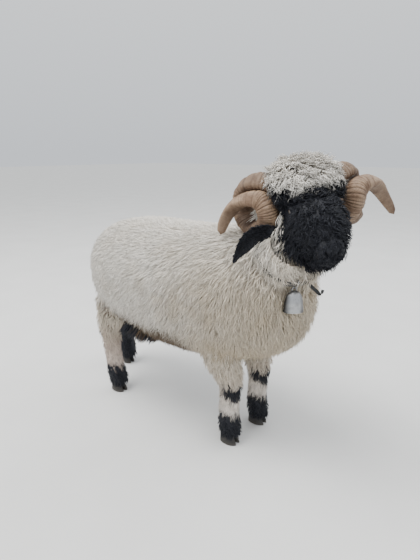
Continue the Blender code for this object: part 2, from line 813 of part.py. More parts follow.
def mouth_line():
    """The groove of the mouth round the muzzle, as a cutter."""
    rings = []
    for k in range(13):
        turn = math.radians(-80 + 160 * k / 12)
        side, ahead = math.sin(turn), math.cos(turn)
        rim = Vector((0.175 + 0.068 * ahead, 0.041 * side, -0.0665 - 0.006 * ahead))
        way = Vector((0.35 + ahead, side, 0)).normalized()
        rings.append([rim - way * 0.006, rim + way * 0.014 + UP * 0.004,
                      rim + way * 0.014 - UP * 0.004])
    return finished(rings_bmesh(rings), "mouth", BLACK_WOOL, skull_frame())


def claw(name, foot, side, grow=0.0):
    """One claw of a foot, its sole flat on the floor."""
    toe = CLAW_LENGTH
    inner = CLAW_CLEFT / 2
    outline = ((-0.42, 0.10), (-0.46, 0.50), (-0.40, 0.88), (-0.05, 1.0), (0.28, 0.86),
               (0.50, 0.46), (0.54, 0.16), (0.30, 0.0), (-0.10, 0.0))
    rings = []
    for z, shrink, back in ((0.0, 1.0, 0.0), (0.014, 0.97, -0.002), (CORONET, 0.80, -0.007)):
        ring = []
        for ahead, out in outline:
            x = ahead * toe * shrink + back
            y = inner + out * CLAW_WIDTH * (shrink if out > 0.3 else 1.0)
            ring.append(foot + Vector((x, y * side, z)))
        rings.append(ring)
    bm = rings_bmesh(rings)
    splay = Matrix.Translation(foot) @ Matrix.Rotation(CLAW_SPLAY * side, 4, "Z")
    bmesh.ops.transform(bm, matrix=splay @ Matrix.Translation(-foot), verts=bm.verts)
    return finished(bm, name, CLAW)


def strap_frame():
    """The collar's own frame: X across the neck, Y fore and aft, Z towards the head."""
    way = COLLAR_WAY.normalized()
    across = UP.cross(way).normalized()
    frame = Matrix((across, way.cross(across), way)).transposed().to_4x4()
    frame.translation = COLLAR_MIDDLE
    return frame


def collar(name, inner_grow=0.0, outer_grow=0.0, edge_grow=0.0):
    """The strap round the neck, or the groove that holds it."""
    rings = []
    half = COLLAR_WIDTH / 2 + edge_grow
    for k in range(COLLAR_SIDES):
        turn = 2 * math.pi * k / COLLAR_SIDES
        way = Vector((math.cos(turn), math.sin(turn), 0))
        deep = COLLAR_RADII[1] if way.y < 0 else COLLAR_NAPE_RADIUS
        ring = []
        for reach, z in ((-inner_grow, -half), (-inner_grow, half),
                         (COLLAR_THICKNESS + outer_grow, half),
                         (COLLAR_THICKNESS + outer_grow, -half)):
            ring.append(Vector((way.x * (COLLAR_RADII[0] + reach), way.y * (deep + reach), z)))
        rings.append(ring)
    return finished(rings_bmesh(rings, closed=True), name, STRAP, strap_frame())


def bell(name):
    """The hollow sheet-steel bell, open below."""
    rings = []
    for share, wide, deep in through(BELL_PROFILE, BELL_RINGS):
        rings.append(oval(share * BELL_HEIGHT, wide, deep))
    inside = [oval(share * (BELL_HEIGHT - BELL_WALL), wide - BELL_WALL, deep - BELL_WALL)
              for share, wide, deep in through(BELL_PROFILE, BELL_RINGS)]
    return finished(rings_bmesh(inside[::-1] + rings), name, STEEL, bell_frame())


def oval(z, wide, deep):
    """A ring of the bell at that height."""
    turns = [2 * math.pi * i / BELL_SIDES for i in range(BELL_SIDES)]
    return [Vector((math.cos(t) * wide, math.sin(t) * deep, z)) for t in turns]


def link_middle():
    """The middle of the oval link, on the collar's band at the throat."""
    reach = COLLAR_RADII[1] + COLLAR_THICKNESS / 2 + 0.0008
    return strap_frame() @ Vector((0, -reach, 0))


def link_low_point():
    """The lowest point of the link's wire middle, where the staple hangs."""
    turn = strap_frame().to_3x3()
    points = [link_middle() + turn @ Vector((0, -LINK_HALF_DEEP * math.sin(t), LINK_HALF_LONG * math.cos(t)))
              for t in (math.radians(a) for a in range(360))]
    return min(points, key=lambda point: point.z)


def bell_top():
    """The middle of the bell's crown, under the staple's feet."""
    return link_low_point() - UP * (STAPLE_HANG + STAPLE_LEG + GAP)


def bell_frame():
    """The bell's own frame: mouth at the bottom, broad face forward."""
    frame = Matrix.Rotation(BELL_TURN + math.pi / 2, 4, "Z")
    frame.translation = bell_top() - UP * BELL_HEIGHT
    return frame


def swept(path, across, half_sizes, sides, closed=False):
    """A bmesh of a round or flat section carried along a path of points."""
    rings = []
    count = len(path)
    for i, point in enumerate(path):
        before = path[i - 1] if closed else path[max(i - 1, 0)]
        after = path[(i + 1) % count] if closed else path[min(i + 1, count - 1)]
        way = (after - before).normalized()
        out = way.cross(across).normalized()
        wide = out.cross(way)
        ring = []
        for k in range(sides):
            turn = 2 * math.pi * (k + 0.5) / sides
            c, s = math.cos(turn), math.sin(turn)
            if sides == 4:
                c, s = math.copysign(1, c), math.copysign(1, s)
            ring.append(point + wide * (c * half_sizes[0]) + out * (s * half_sizes[1]))
        rings.append(ring)
    return rings_bmesh(rings, closed=closed)


def bell_link(name, grow=0.0):
    """The oval wire link round the collar at the throat."""
    turn = strap_frame().to_3x3()
    path = [link_middle() + turn @ Vector((0, -LINK_HALF_DEEP * math.sin(t), LINK_HALF_LONG * math.cos(t)))
            for t in (2 * math.pi * i / 28 for i in range(28))]
    size = LINK_WIRE + grow
    return finished(swept(path, turn @ Vector((1, 0, 0)), (size, size), LINK_SIDES, closed=True), name, STEEL)


def bell_staple():
    """The wire arch on the bell's crown."""
    frame = bell_frame()
    low = BELL_HEIGHT + GAP
    path = [Vector((STAPLE_RADIUS, 0, low)), Vector((STAPLE_RADIUS, 0, low + STAPLE_LEG / 2))]
    for i in range(13):
        turn = math.pi * i / 12
        path.append(Vector((STAPLE_RADIUS * math.cos(turn), 0,
                            low + STAPLE_LEG + STAPLE_RADIUS * math.sin(turn))))
    path += [Vector((-STAPLE_RADIUS, 0, low + STAPLE_LEG / 2)), Vector((-STAPLE_RADIUS, 0, low))]
    bm = swept(path, Vector((0, 1, 0)), (LINK_WIRE, LINK_WIRE), LINK_SIDES)
    return finished(bm, "bell_staple", STEEL, frame)


def bell_room():
    """The bell's outer shape, grown, that presses into the wool of the chest."""
    rings = [oval(share * BELL_HEIGHT, wide + 0.001, deep + 0.001)
             for share, wide, deep in through(BELL_PROFILE, BELL_RINGS)]
    rings[0] = [point - UP * 0.012 for point in rings[0]]
    rings.append([point + UP * 0.020 for point in rings[-1]])
    return finished(rings_bmesh(rings), "room", STEEL, bell_frame())


def collar_loose_end():
    """The strap's free end, hanging from the collar and hooked at its tip."""
    turn = LOOSE_END_TURN
    foot = Vector((COLLAR_RADII[0] * math.sin(turn), -COLLAR_RADII[1] * math.cos(turn), 0))
    out = Vector((math.sin(turn) / COLLAR_RADII[0], -math.cos(turn) / COLLAR_RADII[1], 0)).normalized()
    round_neck = Vector((-out.y, out.x, 0))
    start = foot + out * (COLLAR_THICKNESS + 2 * GAP + LOOSE_END_THICKNESS / 2)
    path = [start + out * ahead + UP * up + round_neck * along
            for ahead, up, along in through(LOOSE_END_WAY, 22)]
    bm = swept(path, round_neck, (LOOSE_END_WIDTH / 2, LOOSE_END_THICKNESS / 2), 4)
    return finished(bm, "collar_loose_end", STRAP, strap_frame())


def clapper():
    """The clapper inside the bell: a rod from the crown with a ball at its end."""
    top = BELL_HEIGHT - BELL_WALL - 0.0005
    rings = []
    for z, radius in ((top, 0.0018), (0.010, 0.0018), (0.006, 0.0050), (0.000, 0.0066),
                      (-0.005, 0.0050), (-0.007, 0.0020)):
        rings.append([Vector((math.cos(t) * radius, math.sin(t) * radius, z))
                      for t in (2 * math.pi * i / 12 for i in range(12))])
    return finished(rings_bmesh(rings), "bell_clapper", STEEL, bell_frame())


def flesh_cells(whole):
    """Parts the whole body into its nodes with thin cuts and returns them by name."""
    nodes = {}
    for name, foot, hind in FEET:
        sign = math.copysign(1, foot.y)
        low = Vector((foot.x - LEG_CELL_BACK, min(sign * LEG_CELL_IN, sign * LEG_CELL_OUT), -0.1))
        high = Vector((foot.x + LEG_CELL_FRONT, max(sign * LEG_CELL_IN, sign * LEG_CELL_OUT), LEG_TOP))
        nodes["leg_" + name] = part_off(whole, "leg_" + name, low, high)
    nodes["tail"] = part_off(whole, "tail", *TAIL_CELL)
    head = copied(whole, "head")
    boolean(head, "INTERSECT", [half_space("cell", *HEAD_JOINT, GAP)])
    boolean(whole, "DIFFERENCE", [half_space("cell", *HEAD_JOINT, 0.0)])
    neck = copied(whole, "neck")
    boolean(neck, "INTERSECT", [half_space("cell", *NECK_JOINT, GAP)])
    boolean(whole, "DIFFERENCE", [half_space("cell", *NECK_JOINT, 0.0)])
    nodes["head"] = head
    nodes["neck"] = neck
    nodes["torso"] = whole
    return nodes


def part_off(whole, name, low, high):
    """Takes what lies in a box off the whole and returns it."""
    part = copied(whole, name)
    boolean(part, "INTERSECT", [box("cell", low, high)])
    room = Vector((GAP, GAP, GAP))
    boolean(whole, "DIFFERENCE", [box("cell", low - room, high + room)])
    return part


def main():
    """Builds the ram."""
    for obj in list(bpy.data.objects):
        bpy.data.objects.remove(obj, do_unlink=True)
    skull = skull_frame()
    whole = loft("torso", torso_sections(TORSO_RINGS, -BODY_LOCK.rise), TORSO_SIDES, FLEECE)
    pieces = [loft("neck_form", column_sections(NECK_STATIONS, 9, -NECK_LOCK.rise), NECK_SIDES, FLEECE),
              loft("tail_form", column_sections(TAIL_STATIONS, 9, -TAIL_LOCK.rise), TAIL_SIDES, FLEECE),
              loft("head_form", head_sections(through(HEAD_STATIONS, 13)), HEAD_SIDES, BLACK_WOOL, skull),
              loft("face_form", face_wool_sections(8, -FACE_CURL.rise), HEAD_SIDES, BLACK_WOOL, skull),
              core_ball("jaw_wool", JAW_WOOL_MIDDLE, JAW_WOOL_RADII, FACE_CURL.rise),
              core_ball("topknot", TOPKNOT_MIDDLE, TOPKNOT_RADII, FORELOCK.rise),
              ball("lower_lip", LOWER_LIP_MIDDLE, LOWER_LIP_RADII, BLACK_WOOL, skull, 12, 6)]
    for side in (-1, 1):
        along, out, up = UPPER_LIP_MIDDLE
        pieces.append(ball("upper_lip", (along, out * side, up), UPPER_LIP_RADII, BLACK_WOOL, skull, 12, 6))
    for name, foot, hind in FEET:
        pieces.append(loft("leg_form", leg_sections(foot, hind, 10, -LEG_LOCK.rise), LEG_SIDES, FLEECE))
    pieces += coat([whole] + pieces)
    boolean(whole, "UNION", pieces)
    largest_surface(whole)
    thinned(whole, BODY_TRIANGLES)
    boolean(whole, "DIFFERENCE", [eye_pit(-1), eye_pit(1)])
    boolean(whole, "UNION", [lids(-1), lids(1)])
    cutters = [mouth_line(), collar("groove", GAP, 0.060, GAP), bell_link("room", LINK_ROOM), bell_room()]
    for side in (-1, 1):
        cutters += [lid_opening(side), nostril(side)]
        cutters += [horn("cutter", side, HORN_ROOM), ear("cutter", side, EAR_ROOM)]
        cutters += [eye("cutter", side, EYE_ROOM)]
    boolean(whole, "DIFFERENCE", cutters)
    for node in flesh_cells(whole).values():
        largest_surface(node)
    for side, word in ((-1, "right"), (1, "left")):
        horn("horn_" + word, side)
        ear("ear_" + word, side)
        eye("eye_" + word, side)
    for name, foot, _ in FEET:
        outward = math.copysign(1, foot.y)
        claw("claw_outer_" + name, foot, outward)
        claw("claw_inner_" + name, foot, -outward)
    collar("collar")
    collar_loose_end()
    bell_link("bell_link")
    bell_staple()
    bell("bell")
    clapper()
    for obj in bpy.data.objects:
        obj.data.transform(Matrix.Translation(STANCE))


main()
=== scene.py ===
"""Looks of a life-size Valais Blacknose ram: skin, coat, horns, eyes, claws, collar and bell.

Metres, +Z up. Sizes are in the ram's own frame, whose +X points to the chest and +Y to its left;
the stance that carries them into the solids' frame is read from the right eye.
"""

import logging
import math
from dataclasses import dataclass, replace
from enum import Enum

import bmesh
import bpy
import numpy as np
from bmesh.types import BMEdge, BMesh, BMVert
from bpy.types import Material, Mesh, Node, NodeSocket, NodeTree, Object
from mathutils import Matrix, Vector
from mathutils.bvhtree import BVHTree
from mathutils.kdtree import KDTree


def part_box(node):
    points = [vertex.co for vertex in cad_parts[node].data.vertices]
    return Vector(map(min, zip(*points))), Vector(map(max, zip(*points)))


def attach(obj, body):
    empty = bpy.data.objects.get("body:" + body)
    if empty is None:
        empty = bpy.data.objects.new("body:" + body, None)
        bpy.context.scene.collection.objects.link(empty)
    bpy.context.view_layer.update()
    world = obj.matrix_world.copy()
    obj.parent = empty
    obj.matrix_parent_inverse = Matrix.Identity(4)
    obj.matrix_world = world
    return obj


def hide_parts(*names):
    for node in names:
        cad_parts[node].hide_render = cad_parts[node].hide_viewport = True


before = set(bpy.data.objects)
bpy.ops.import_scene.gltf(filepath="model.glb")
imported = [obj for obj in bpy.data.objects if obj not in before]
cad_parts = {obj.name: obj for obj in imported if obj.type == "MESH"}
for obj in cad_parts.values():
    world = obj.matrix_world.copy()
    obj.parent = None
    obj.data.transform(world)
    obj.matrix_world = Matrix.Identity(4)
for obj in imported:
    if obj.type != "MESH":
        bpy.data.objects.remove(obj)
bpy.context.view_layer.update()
LOG = logging.getLogger("ram")
BODY = "root"
# The side of one tuft's patch on the OFBake map.
TUFT_PATCH = 0.003
# The forms of the head whose wool is short.
FACE_PARTS = ("head", "face", "jaw")
UP = Vector((0.0, 0.0, 1.0))
Rows = tuple[tuple[float, ...], ...]


class Side(Enum):
    """The ram's right and left, as the sign along Y."""

    RIGHT = -1
    LEFT = 1

    @property
    def word(self) -> str:
        """The side as it stands in a node's name."""
        return self.name.lower()


def through(rows: Rows | np.ndarray, count: int) -> np.ndarray:
    """Reads rows evenly from a smooth curve through the given rows.

    Args:
        rows: The rows that the curve passes.
        count: How many rows to read.

    Returns:
        The rows read, first and last among them.
    """
    rows = np.array(rows, float)
    last = len(rows) - 1
    t = np.linspace(0, last, count)
    i = np.minimum(t.astype(int), last - 1)
    f = (t - i)[:, None]
    a, b, c, d = (rows[np.clip(i + k, 0, last)] for k in (-1, 0, 1, 2))
    from_b, to_c = (c - a) / 2, (d - b) / 2
    return (b * (2 * f**3 - 3 * f**2 + 1) + from_b * (f**3 - 2 * f**2 + f)
            + c * (3 * f**2 - 2 * f**3) + to_c * (f**3 - f**2))


def unit(ways: np.ndarray) -> np.ndarray:
    """Ways scaled to length one."""
    return ways / np.maximum(np.linalg.norm(ways, axis=-1, keepdims=True), 1e-9)


def ramp(low: float, high: float, value: np.ndarray) -> np.ndarray:
    """A smooth step from 0 at low to 1 at high."""
    t = np.clip((value - low) / (high - low), 0, 1)
    return t * t * (3 - 2 * t)


def ripple(points: np.ndarray, size: float) -> np.ndarray:
    """A smooth wandering value from about -1 to 1 over space.

    Args:
        points: Places in metres.
        size: About how far apart its highs are.

    Returns:
        One value for each place.
    """
    p = points * (2 * math.pi / size)
    x, y, z = p[..., 0], p[..., 1], p[..., 2]
    return (np.sin(x + 1.7 * np.sin(0.8 * y + 0.4)) + np.sin(1.1 * y + 1.3 * np.sin(0.7 * z + 2.1))
            + np.sin(0.9 * z + 1.9 * np.sin(0.6 * x + 4.0))) / 3


def angles_round(count: int) -> np.ndarray:
    """Even angles once round."""
    return np.linspace(0, 2 * math.pi, count, endpoint=False)


def wandering(points: np.ndarray, size: float) -> np.ndarray:
    """A way that wanders smoothly over space."""
    return np.stack([ripple(points + k, size) for k in range(3)], axis=1)


@dataclass(frozen=True)
class Skull:
    """The skull's own frame: along to the nose, left and up, from the poll between the horns."""

    poll: tuple[float, float, float] = (0.540, -0.029, 0.904)
    yaw: float = math.radians(-45)
    pitch: float = math.radians(24)
    roll: float = math.radians(8)
    eye: tuple[float, float, float] = (0.090, 0.0575, -0.010)
    eye_radius: float = 0.0135
    lid_reach: float = 0.0125
    nostril_out: float = 0.0155
    nostril_drop: float = 0.042

    def frame(self, pitch: float | None = None) -> Matrix:
        """The matrix from the skull's own frame to the ram's.

        Args:
            pitch: How far the nose points down, or None for the head's own pitch.

        Returns:
            The 4 by 4 matrix.
        """
        pitch = self.pitch if pitch is None else pitch
        level = Vector((math.cos(self.yaw), math.sin(self.yaw), 0))
        left = Vector((-math.sin(self.yaw), math.cos(self.yaw), 0))
        along = level * math.cos(pitch) - UP * math.sin(pitch)
        up = level * math.sin(pitch) + UP * math.cos(pitch)
        rolled_left = left * math.cos(self.roll) + up * math.sin(self.roll)
        rolled_up = up * math.cos(self.roll) - left * math.sin(self.roll)
        made = Matrix((along, rolled_left, rolled_up)).transposed().to_4x4()
        made.translation = Vector(self.poll)
        return made

    def eye_place(self, side: Side) -> Vector:
        """The middle of one eye in the ram's frame."""
        along, out, up = self.eye
        return self.frame() @ Vector((along, out * side.value, up))

    def from_eye(self, places: np.ndarray) -> np.ndarray:
        """Places of the skull's frame measured from the eye on their side, outwards along Y."""
        return np.stack([places[:, 0], np.abs(places[:, 1]), places[:, 2]], axis=1) - np.array(self.eye)


SKULL = Skull()


def stance() -> Vector:
    """How far the solids' frame is from the ram's own, read from the right eye's solid."""
    low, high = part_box("eye_right")
    return (low + high) / 2 - SKULL.eye_place(Side.RIGHT)


STANCE = stance()


def carried(points: np.ndarray, matrix: Matrix | np.ndarray) -> np.ndarray:
    """Places carried by a matrix."""
    turn = np.array(matrix)
    return points @ turn[:3, :3].T + turn[:3, 3]


def local(points: np.ndarray, frame_matrix: Matrix) -> np.ndarray:
    """Places in the solids' frame carried into a frame of the ram.

    Args:
        points: Places in the solids' frame.
        frame_matrix: The matrix from that frame to the ram's.

    Returns:
        The places there.
    """
    return carried(points - np.array(STANCE), frame_matrix.inverted())


@dataclass(frozen=True)
class Form:
    """A lofted form: dense rows of ring middles, ways and half sizes, in the solids' frame."""

    name: str
    middles: np.ndarray
    sides: np.ndarray
    tops: np.ndarray
    halves: np.ndarray
    square: float = 1.0

    def at(self, share: np.ndarray, turn: np.ndarray) -> np.ndarray:
        """Places on the form.

        Args:
            share: How far along the form, 0 to 1.
            turn: The angle round it, from its side towards its top.

        Returns:
            One place for each pair.
        """
        where = np.clip(share, 0, 1) * (len(self.middles) - 1)
        i = np.minimum(where.astype(int), len(self.middles) - 2)
        f = (where - i)[..., None]
        middle, side, top, half = (rows[i] * (1 - f) + rows[i + 1] * f for rows in
                                   (self.middles, self.sides, self.tops, self.halves))
        c, s = np.cos(turn), np.sin(turn)
        out = np.sign(c) * np.abs(c) ** self.square * half[..., 0]
        up = np.sign(s) * np.abs(s) ** self.square * np.where(s > 0, half[..., 1], half[..., 2])
        return middle + side * out[..., None] + top * up[..., None]

    def shell(self, rings: int, sides: int) -> BMesh:
        """The closed surface of the form.

        Args:
            rings: How many rings along it.
            sides: How many points round it.

        Returns:
            A new bmesh.
        """
        turns = angles_round(sides)
        rows = [self.at(np.full(sides, share), turns) for share in np.linspace(0, 1, rings)]
        return tube(rows)


def upright(name: str, middles: np.ndarray, side: np.ndarray | tuple, top: np.ndarray | tuple,
            halves: np.ndarray, square: float = 1.0) -> Form:
    """A form whose rings all face one way."""
    sides, tops = (np.tile(way, (len(middles), 1)) for way in (side, top))
    return Form(name, middles, sides, tops, halves, square)


def tube(rows: list[np.ndarray], closed: bool = False, tip: np.ndarray | None = None) -> BMesh:
    """A surface carried along rings of points.

    Args:
        rows: The rings, each with the same number of points.
        closed: Whether the last ring meets the first.
        tip: A point that closes the far end, or None for a flat end.

    Returns:
        A new bmesh whose faces point out.
    """
    bm = bmesh.new()
    count = len(rows[0])
    place = bm.verts.layers.int.new("place")
    made = bmesh.ops.create_circle(bm, segments=count, radius=1.0)["verts"]
    for k, vert in enumerate(made):
        vert[place] = k
        vert.co = rows[0][k]
    first = list(bm.edges)
    edges = first
    if not closed:
        bm.faces.new(made)
    for row in rows[1:]:
        grown = bmesh.ops.extrude_edge_only(bm, edges=edges)["geom"]
        edges = [item for item in grown if isinstance(item, BMEdge)]
        new = [item for item in grown if isinstance(item, BMVert)]
        for vert in new:
            vert.co = row[vert[place]]
        ring = set(new)
        edges = [edge for edge in edges if edge.verts[0] in ring and edge.verts[1] in ring]
    if closed:
        bmesh.ops.bridge_loops(bm, edges=first + edges)
    elif tip is None:
        bmesh.ops.holes_fill(bm, edges=edges, sides=0)
    else:
        cap = bmesh.ops.extrude_edge_only(bm, edges=edges)["geom"]
        new = [item for item in cap if isinstance(item, BMVert)]
        bmesh.ops.pointmerge(bm, verts=new, merge_co=tip)
    bmesh.ops.recalc_face_normals(bm, faces=bm.faces)
    return bm


def piece(name: str, bm: BMesh, material: Material | None = None, smooth: bool = True) -> Object:
    """An object at the origin made from a bmesh, which is freed.

    Args:
        name: The piece's name.
        bm: Its surface.
        material: Its finish, if it has one.
        smooth: Whether it is shaded smooth.

    Returns:
        The new object.
    """
    mesh = bpy.data.meshes.new(name)
    bm.to_mesh(mesh)
    bm.free()
    if smooth:
        mesh.shade_smooth()
    made = bpy.data.objects.new(name, mesh)
    bpy.context.scene.collection.objects.link(made)
    if material:
        mesh.materials.append(material)
    return made


def settled(obj: Object) -> Object:
    """Applies an object's modifiers to its mesh.

    Args:
        obj: The object.

    Returns:
        The same object.
    """
    depsgraph = bpy.context.evaluated_depsgraph_get()
    mesh = bpy.data.meshes.new_from_object(obj.evaluated_get(depsgraph))
    obj.modifiers.clear()
    before = obj.data
    obj.data = mesh
    bpy.data.meshes.remove(before)
    return obj


def mesh_points(obj: Object) -> np.ndarray:
    """The object's vertex places.

    Args:
        obj: The object.

    Returns:
        One place for each vertex.
    """
    co = np.empty(len(obj.data.vertices) * 3, np.float32)
    obj.data.vertices.foreach_get("co", co)
    return co.reshape(-1, 3).astype(float)


def give(mesh: Mesh, name: str, values: np.ndarray) -> None:
    """Writes one number per vertex into a named attribute of the mesh."""
    layer = mesh.attributes.new(name, "FLOAT", "POINT")
    layer.data.foreach_set("value", values.astype(np.float32))


def sources(obj: Object, rings: np.ndarray, missing: int) -> np.ndarray:
    """For each vertex, the index of the ring point that it was made from, or the missing one."""
    table = {tuple(np.round(place, 5)): i for i, place in enumerate(rings)}
    return np.array([table.get(tuple(np.round(place, 5)), missing) for place in mesh_points(obj)])


def drawn_in(form: Form, first: bool = True, last: bool = True) -> Form:
    """The form with its flat ends drawn in to a point, so that wool covers them.

    Args:
        form: The form.
        first: Whether its first end is drawn in.
        last: Whether its last end is drawn in.

    Returns:
        The form with an end row more at each end drawn in.
    """
    rows = [form.middles, form.sides, form.tops, form.halves]
    for index, wanted in ((0, first), (-1, last)):
        if wanted:
            step = unit(rows[0][index] - rows[0][1 if index == 0 else -2]) * 0.003
            ends = [rows[0][index] + step, rows[1][index], rows[2][index], rows[3][index] * 0.04]
            rows = [np.vstack([end[None], row] if index == 0 else [row, end[None]])
                    for row, end in zip(rows, ends)]
    return Form(form.name, *rows, form.square)


class Shader:
    """A small helper that adds and links the nodes of one material or group."""

    def __init__(self, tree: NodeTree) -> None:
        """Starts on a tree whose nodes it clears."""
        self.tree = tree
        tree.nodes.clear()

    def node(self, kind: str, **settings: object) -> Node:
        """Adds a node.

        Args:
            kind: The node's type name.
            settings: Its properties, or values for sockets named in_0, in_1 and so on.

        Returns:
            The new node.
        """
        made = self.tree.nodes.new(kind)
        for key, value in settings.items():
            if key.startswith("in_"):
                self.feed(value, made.inputs[int(key[3:])])
            else:
                setattr(made, key, value)
        return made

    def link(self, start: NodeSocket, end: NodeSocket) -> None:
        """Links one socket to another."""
        self.tree.links.new(start, end)

    def feed(self, value: object, socket: NodeSocket) -> None:
        """Links a value that is a socket, and sets a plain one, with a colour as opaque.

        Args:
            value: A socket, a number or a plain colour.
            socket: What it feeds.
        """
        if isinstance(value, NodeSocket):
            self.link(value, socket)
        else:
            socket.default_value = (*value, 1.0) if socket.type == "RGBA" else value

    def attribute(self, name: str) -> NodeSocket:
        """The value of a named attribute."""
        return self.node("ShaderNodeAttribute", attribute_name=name).outputs["Fac"]

    def noise(self, scale: float, detail: float = 3.0, stretch: tuple = (1, 1, 1)) -> NodeSocket:
        """A noise over Object coordinates, drawn out by the stretch.

        Args:
            scale: How fine it is.
            detail: Its octaves.
            stretch: A scale for each axis.

        Returns:
            The noise, about 0 to 1.
        """
        place = self.node("ShaderNodeTexCoord").outputs["Object"]
        turned = self.node("ShaderNodeMapping", in_0=place, in_3=stretch).outputs[0]
        made = self.node("ShaderNodeTexNoise", in_0=turned)
        made.inputs["Scale"].default_value = scale
        made.inputs["Detail"].default_value = detail
        return made.outputs["Fac"]

    def fibres(self) -> NodeSocket:
        """Fine streaks along each tuft, read over the piece's own UV map.

        Returns:
            The streaks, about 0 to 1.
        """
        place = self.node("ShaderNodeTexCoord").outputs["UV"]
        drawn = self.node("ShaderNodeMapping", in_0=place, in_3=(500.0, 1900.0, 1.0)).outputs[0]
        return self.node("ShaderNodeTexNoise", in_0=drawn, in_2=1.0, in_3=2.0).outputs["Fac"]

    def math(self, operation: str, first: object, second: object = 0.0) -> NodeSocket:
        """One sum of two values."""
        return self.node("ShaderNodeMath", operation=operation, in_0=first, in_1=second).outputs[0]

    def mix(self, share: object, first: object, second: object) -> NodeSocket:
        """A colour between two colours.

        Args:
            share: How much of the second.
            first: A colour socket or plain colour.
            second: Another.

        Returns:
            The colour.
        """
        made = self.node("ShaderNodeMix", data_type="RGBA")
        for key, value in ((0, share), (6, first), (7, second)):
            self.feed(value, made.inputs[key])
        return made.outputs[2]

    def spread(self, value: object, low: float, high: float, to_low: float = 0.0,
               to_high: float = 1.0) -> NodeSocket:
        """A value carried from one range into another, held at its ends."""
        made = self.node("ShaderNodeMapRange", in_0=value, in_1=low, in_2=high, in_3=to_low, in_4=to_high)
        return made.outputs[0]

    def bump(self, height: object, strength: float, distance: float) -> NodeSocket:
        """A normal raised by a height.

        Args:
            height: The height.
            strength: How strongly it shows.
            distance: Its depth in metres.

        Returns:
            The normal.
        """
        made = self.node("ShaderNodeBump")
        made.inputs["Strength"].default_value = strength
        made.inputs["Distance"].default_value = distance
        self.link(height, made.inputs["Height"])
        return made.outputs["Normal"]

    def surface(self, colour: object, roughness: object = 0.8, normal: object | None = None,
                **fixed: float) -> Node:
        """The Principled shader and the output.

        Args:
            colour: A colour socket or plain colour.
            roughness: A socket or a plain value.
            normal: A normal socket, if any.
            fixed: Plain values for other sockets, with _ for a space.

        Returns:
            The shader node.
        """
        shader = self.node("ShaderNodeBsdfPrincipled")
        self.feed(colour, shader.inputs["Base Color"])
        self.feed(roughness, shader.inputs["Roughness"])
        if normal is not None:
            self.link(normal, shader.inputs["Normal"])
        for key, value in fixed.items():
            shader.inputs[key.replace("_", " ")].default_value = value
        out = self.node("ShaderNodeOutputMaterial")
        self.link(shader.outputs[0], out.inputs[0])
        return shader


def material(name: str) -> tuple[Material, Shader]:
    """A new material and the helper on its nodes.

    Args:
        name: The material's name.

    Returns:
        The material and its helper.
    """
    made = bpy.data.materials.new(name)
    made.use_nodes = True
    return made, Shader(made.node_tree)


@dataclass(frozen=True)
class WoolFinish:
    """Wool from black to white, with warm and dirty tints and painted shade given by the coat's attributes,
    and painted shade towards each tuft's root.
    """

    white: tuple = (0.86, 0.825, 0.765)
    # The colour of white wool at a tuft's root: painted shade among the tufts.
    root_shade: tuple = (0.68, 0.63, 0.55)
    warm: tuple = (0.60, 0.485, 0.325)
    # Dark brown used both for dirt and for painted shade on the lower torso.
    dirt: tuple = (0.115, 0.080, 0.052)
    pink: tuple = (0.52, 0.36, 0.29)
    black: tuple = (0.0060, 0.0066, 0.0095)
    # The lighter bluish tips of black wool: a painted highlight.
    black_tip_sheen: tuple = (0.0135, 0.0150, 0.0215)

    def make(self, name: str, fine: bool) -> Material:
        """The wool's material.

        Args:
            name: The material's name.
            fine: Whether it lies on tufts, which have an along attribute, or on the skin.

        Returns:
            The material.
        """
        made, nodes = material(name)
        grain = nodes.fibres() if fine else nodes.noise(260.0, 2.0, (1.0, 1.0, 0.25))
        along = nodes.attribute("along") if fine else 0.25
        tone = nodes.attribute("tone")
        # depth: lighter from a tuft's root to its tip, painted shade among the tufts; the skin is read at a
        # fixed 0.25 of it and so takes that painted shade too.
        depth = nodes.math("ADD", along, nodes.math("MULTIPLY", nodes.math("SUBTRACT", grain, 0.5), 0.9))
        depth = nodes.spread(depth, -0.05, 0.45)
        white = nodes.mix(depth, self.root_shade, self.white)
        white = nodes.mix(nodes.attribute("warm"), white, self.warm)
        white = nodes.mix(nodes.attribute("pink"), white, self.pink)
        # Dirt, and on the torso also painted shade lower down.
        white = nodes.mix(nodes.attribute("dirt"), white, self.dirt)
        # Black wool: darker at the root as painted shade, with lighter bluish tips as a painted highlight.
        black = nodes.mix(nodes.spread(depth, 0.3, 1.0), self.black, self.black_tip_sheen)
        shaded = nodes.mix(nodes.attribute("black"), white, black)
        dimmed = nodes.node("ShaderNodeHueSaturation")
        nodes.link(shaded, dimmed.inputs["Color"])
        nodes.link(tone, dimmed.inputs["Value"])
        rough = nodes.spread(nodes.attribute("black"), 0.0, 1.0, 0.92, 0.58)
        normal = nodes.bump(grain, 0.55, 0.0012)
        shader = nodes.surface(dimmed.outputs[0], rough, normal)
        shader.inputs["Specular IOR Level"].default_value = 0.25
        return made


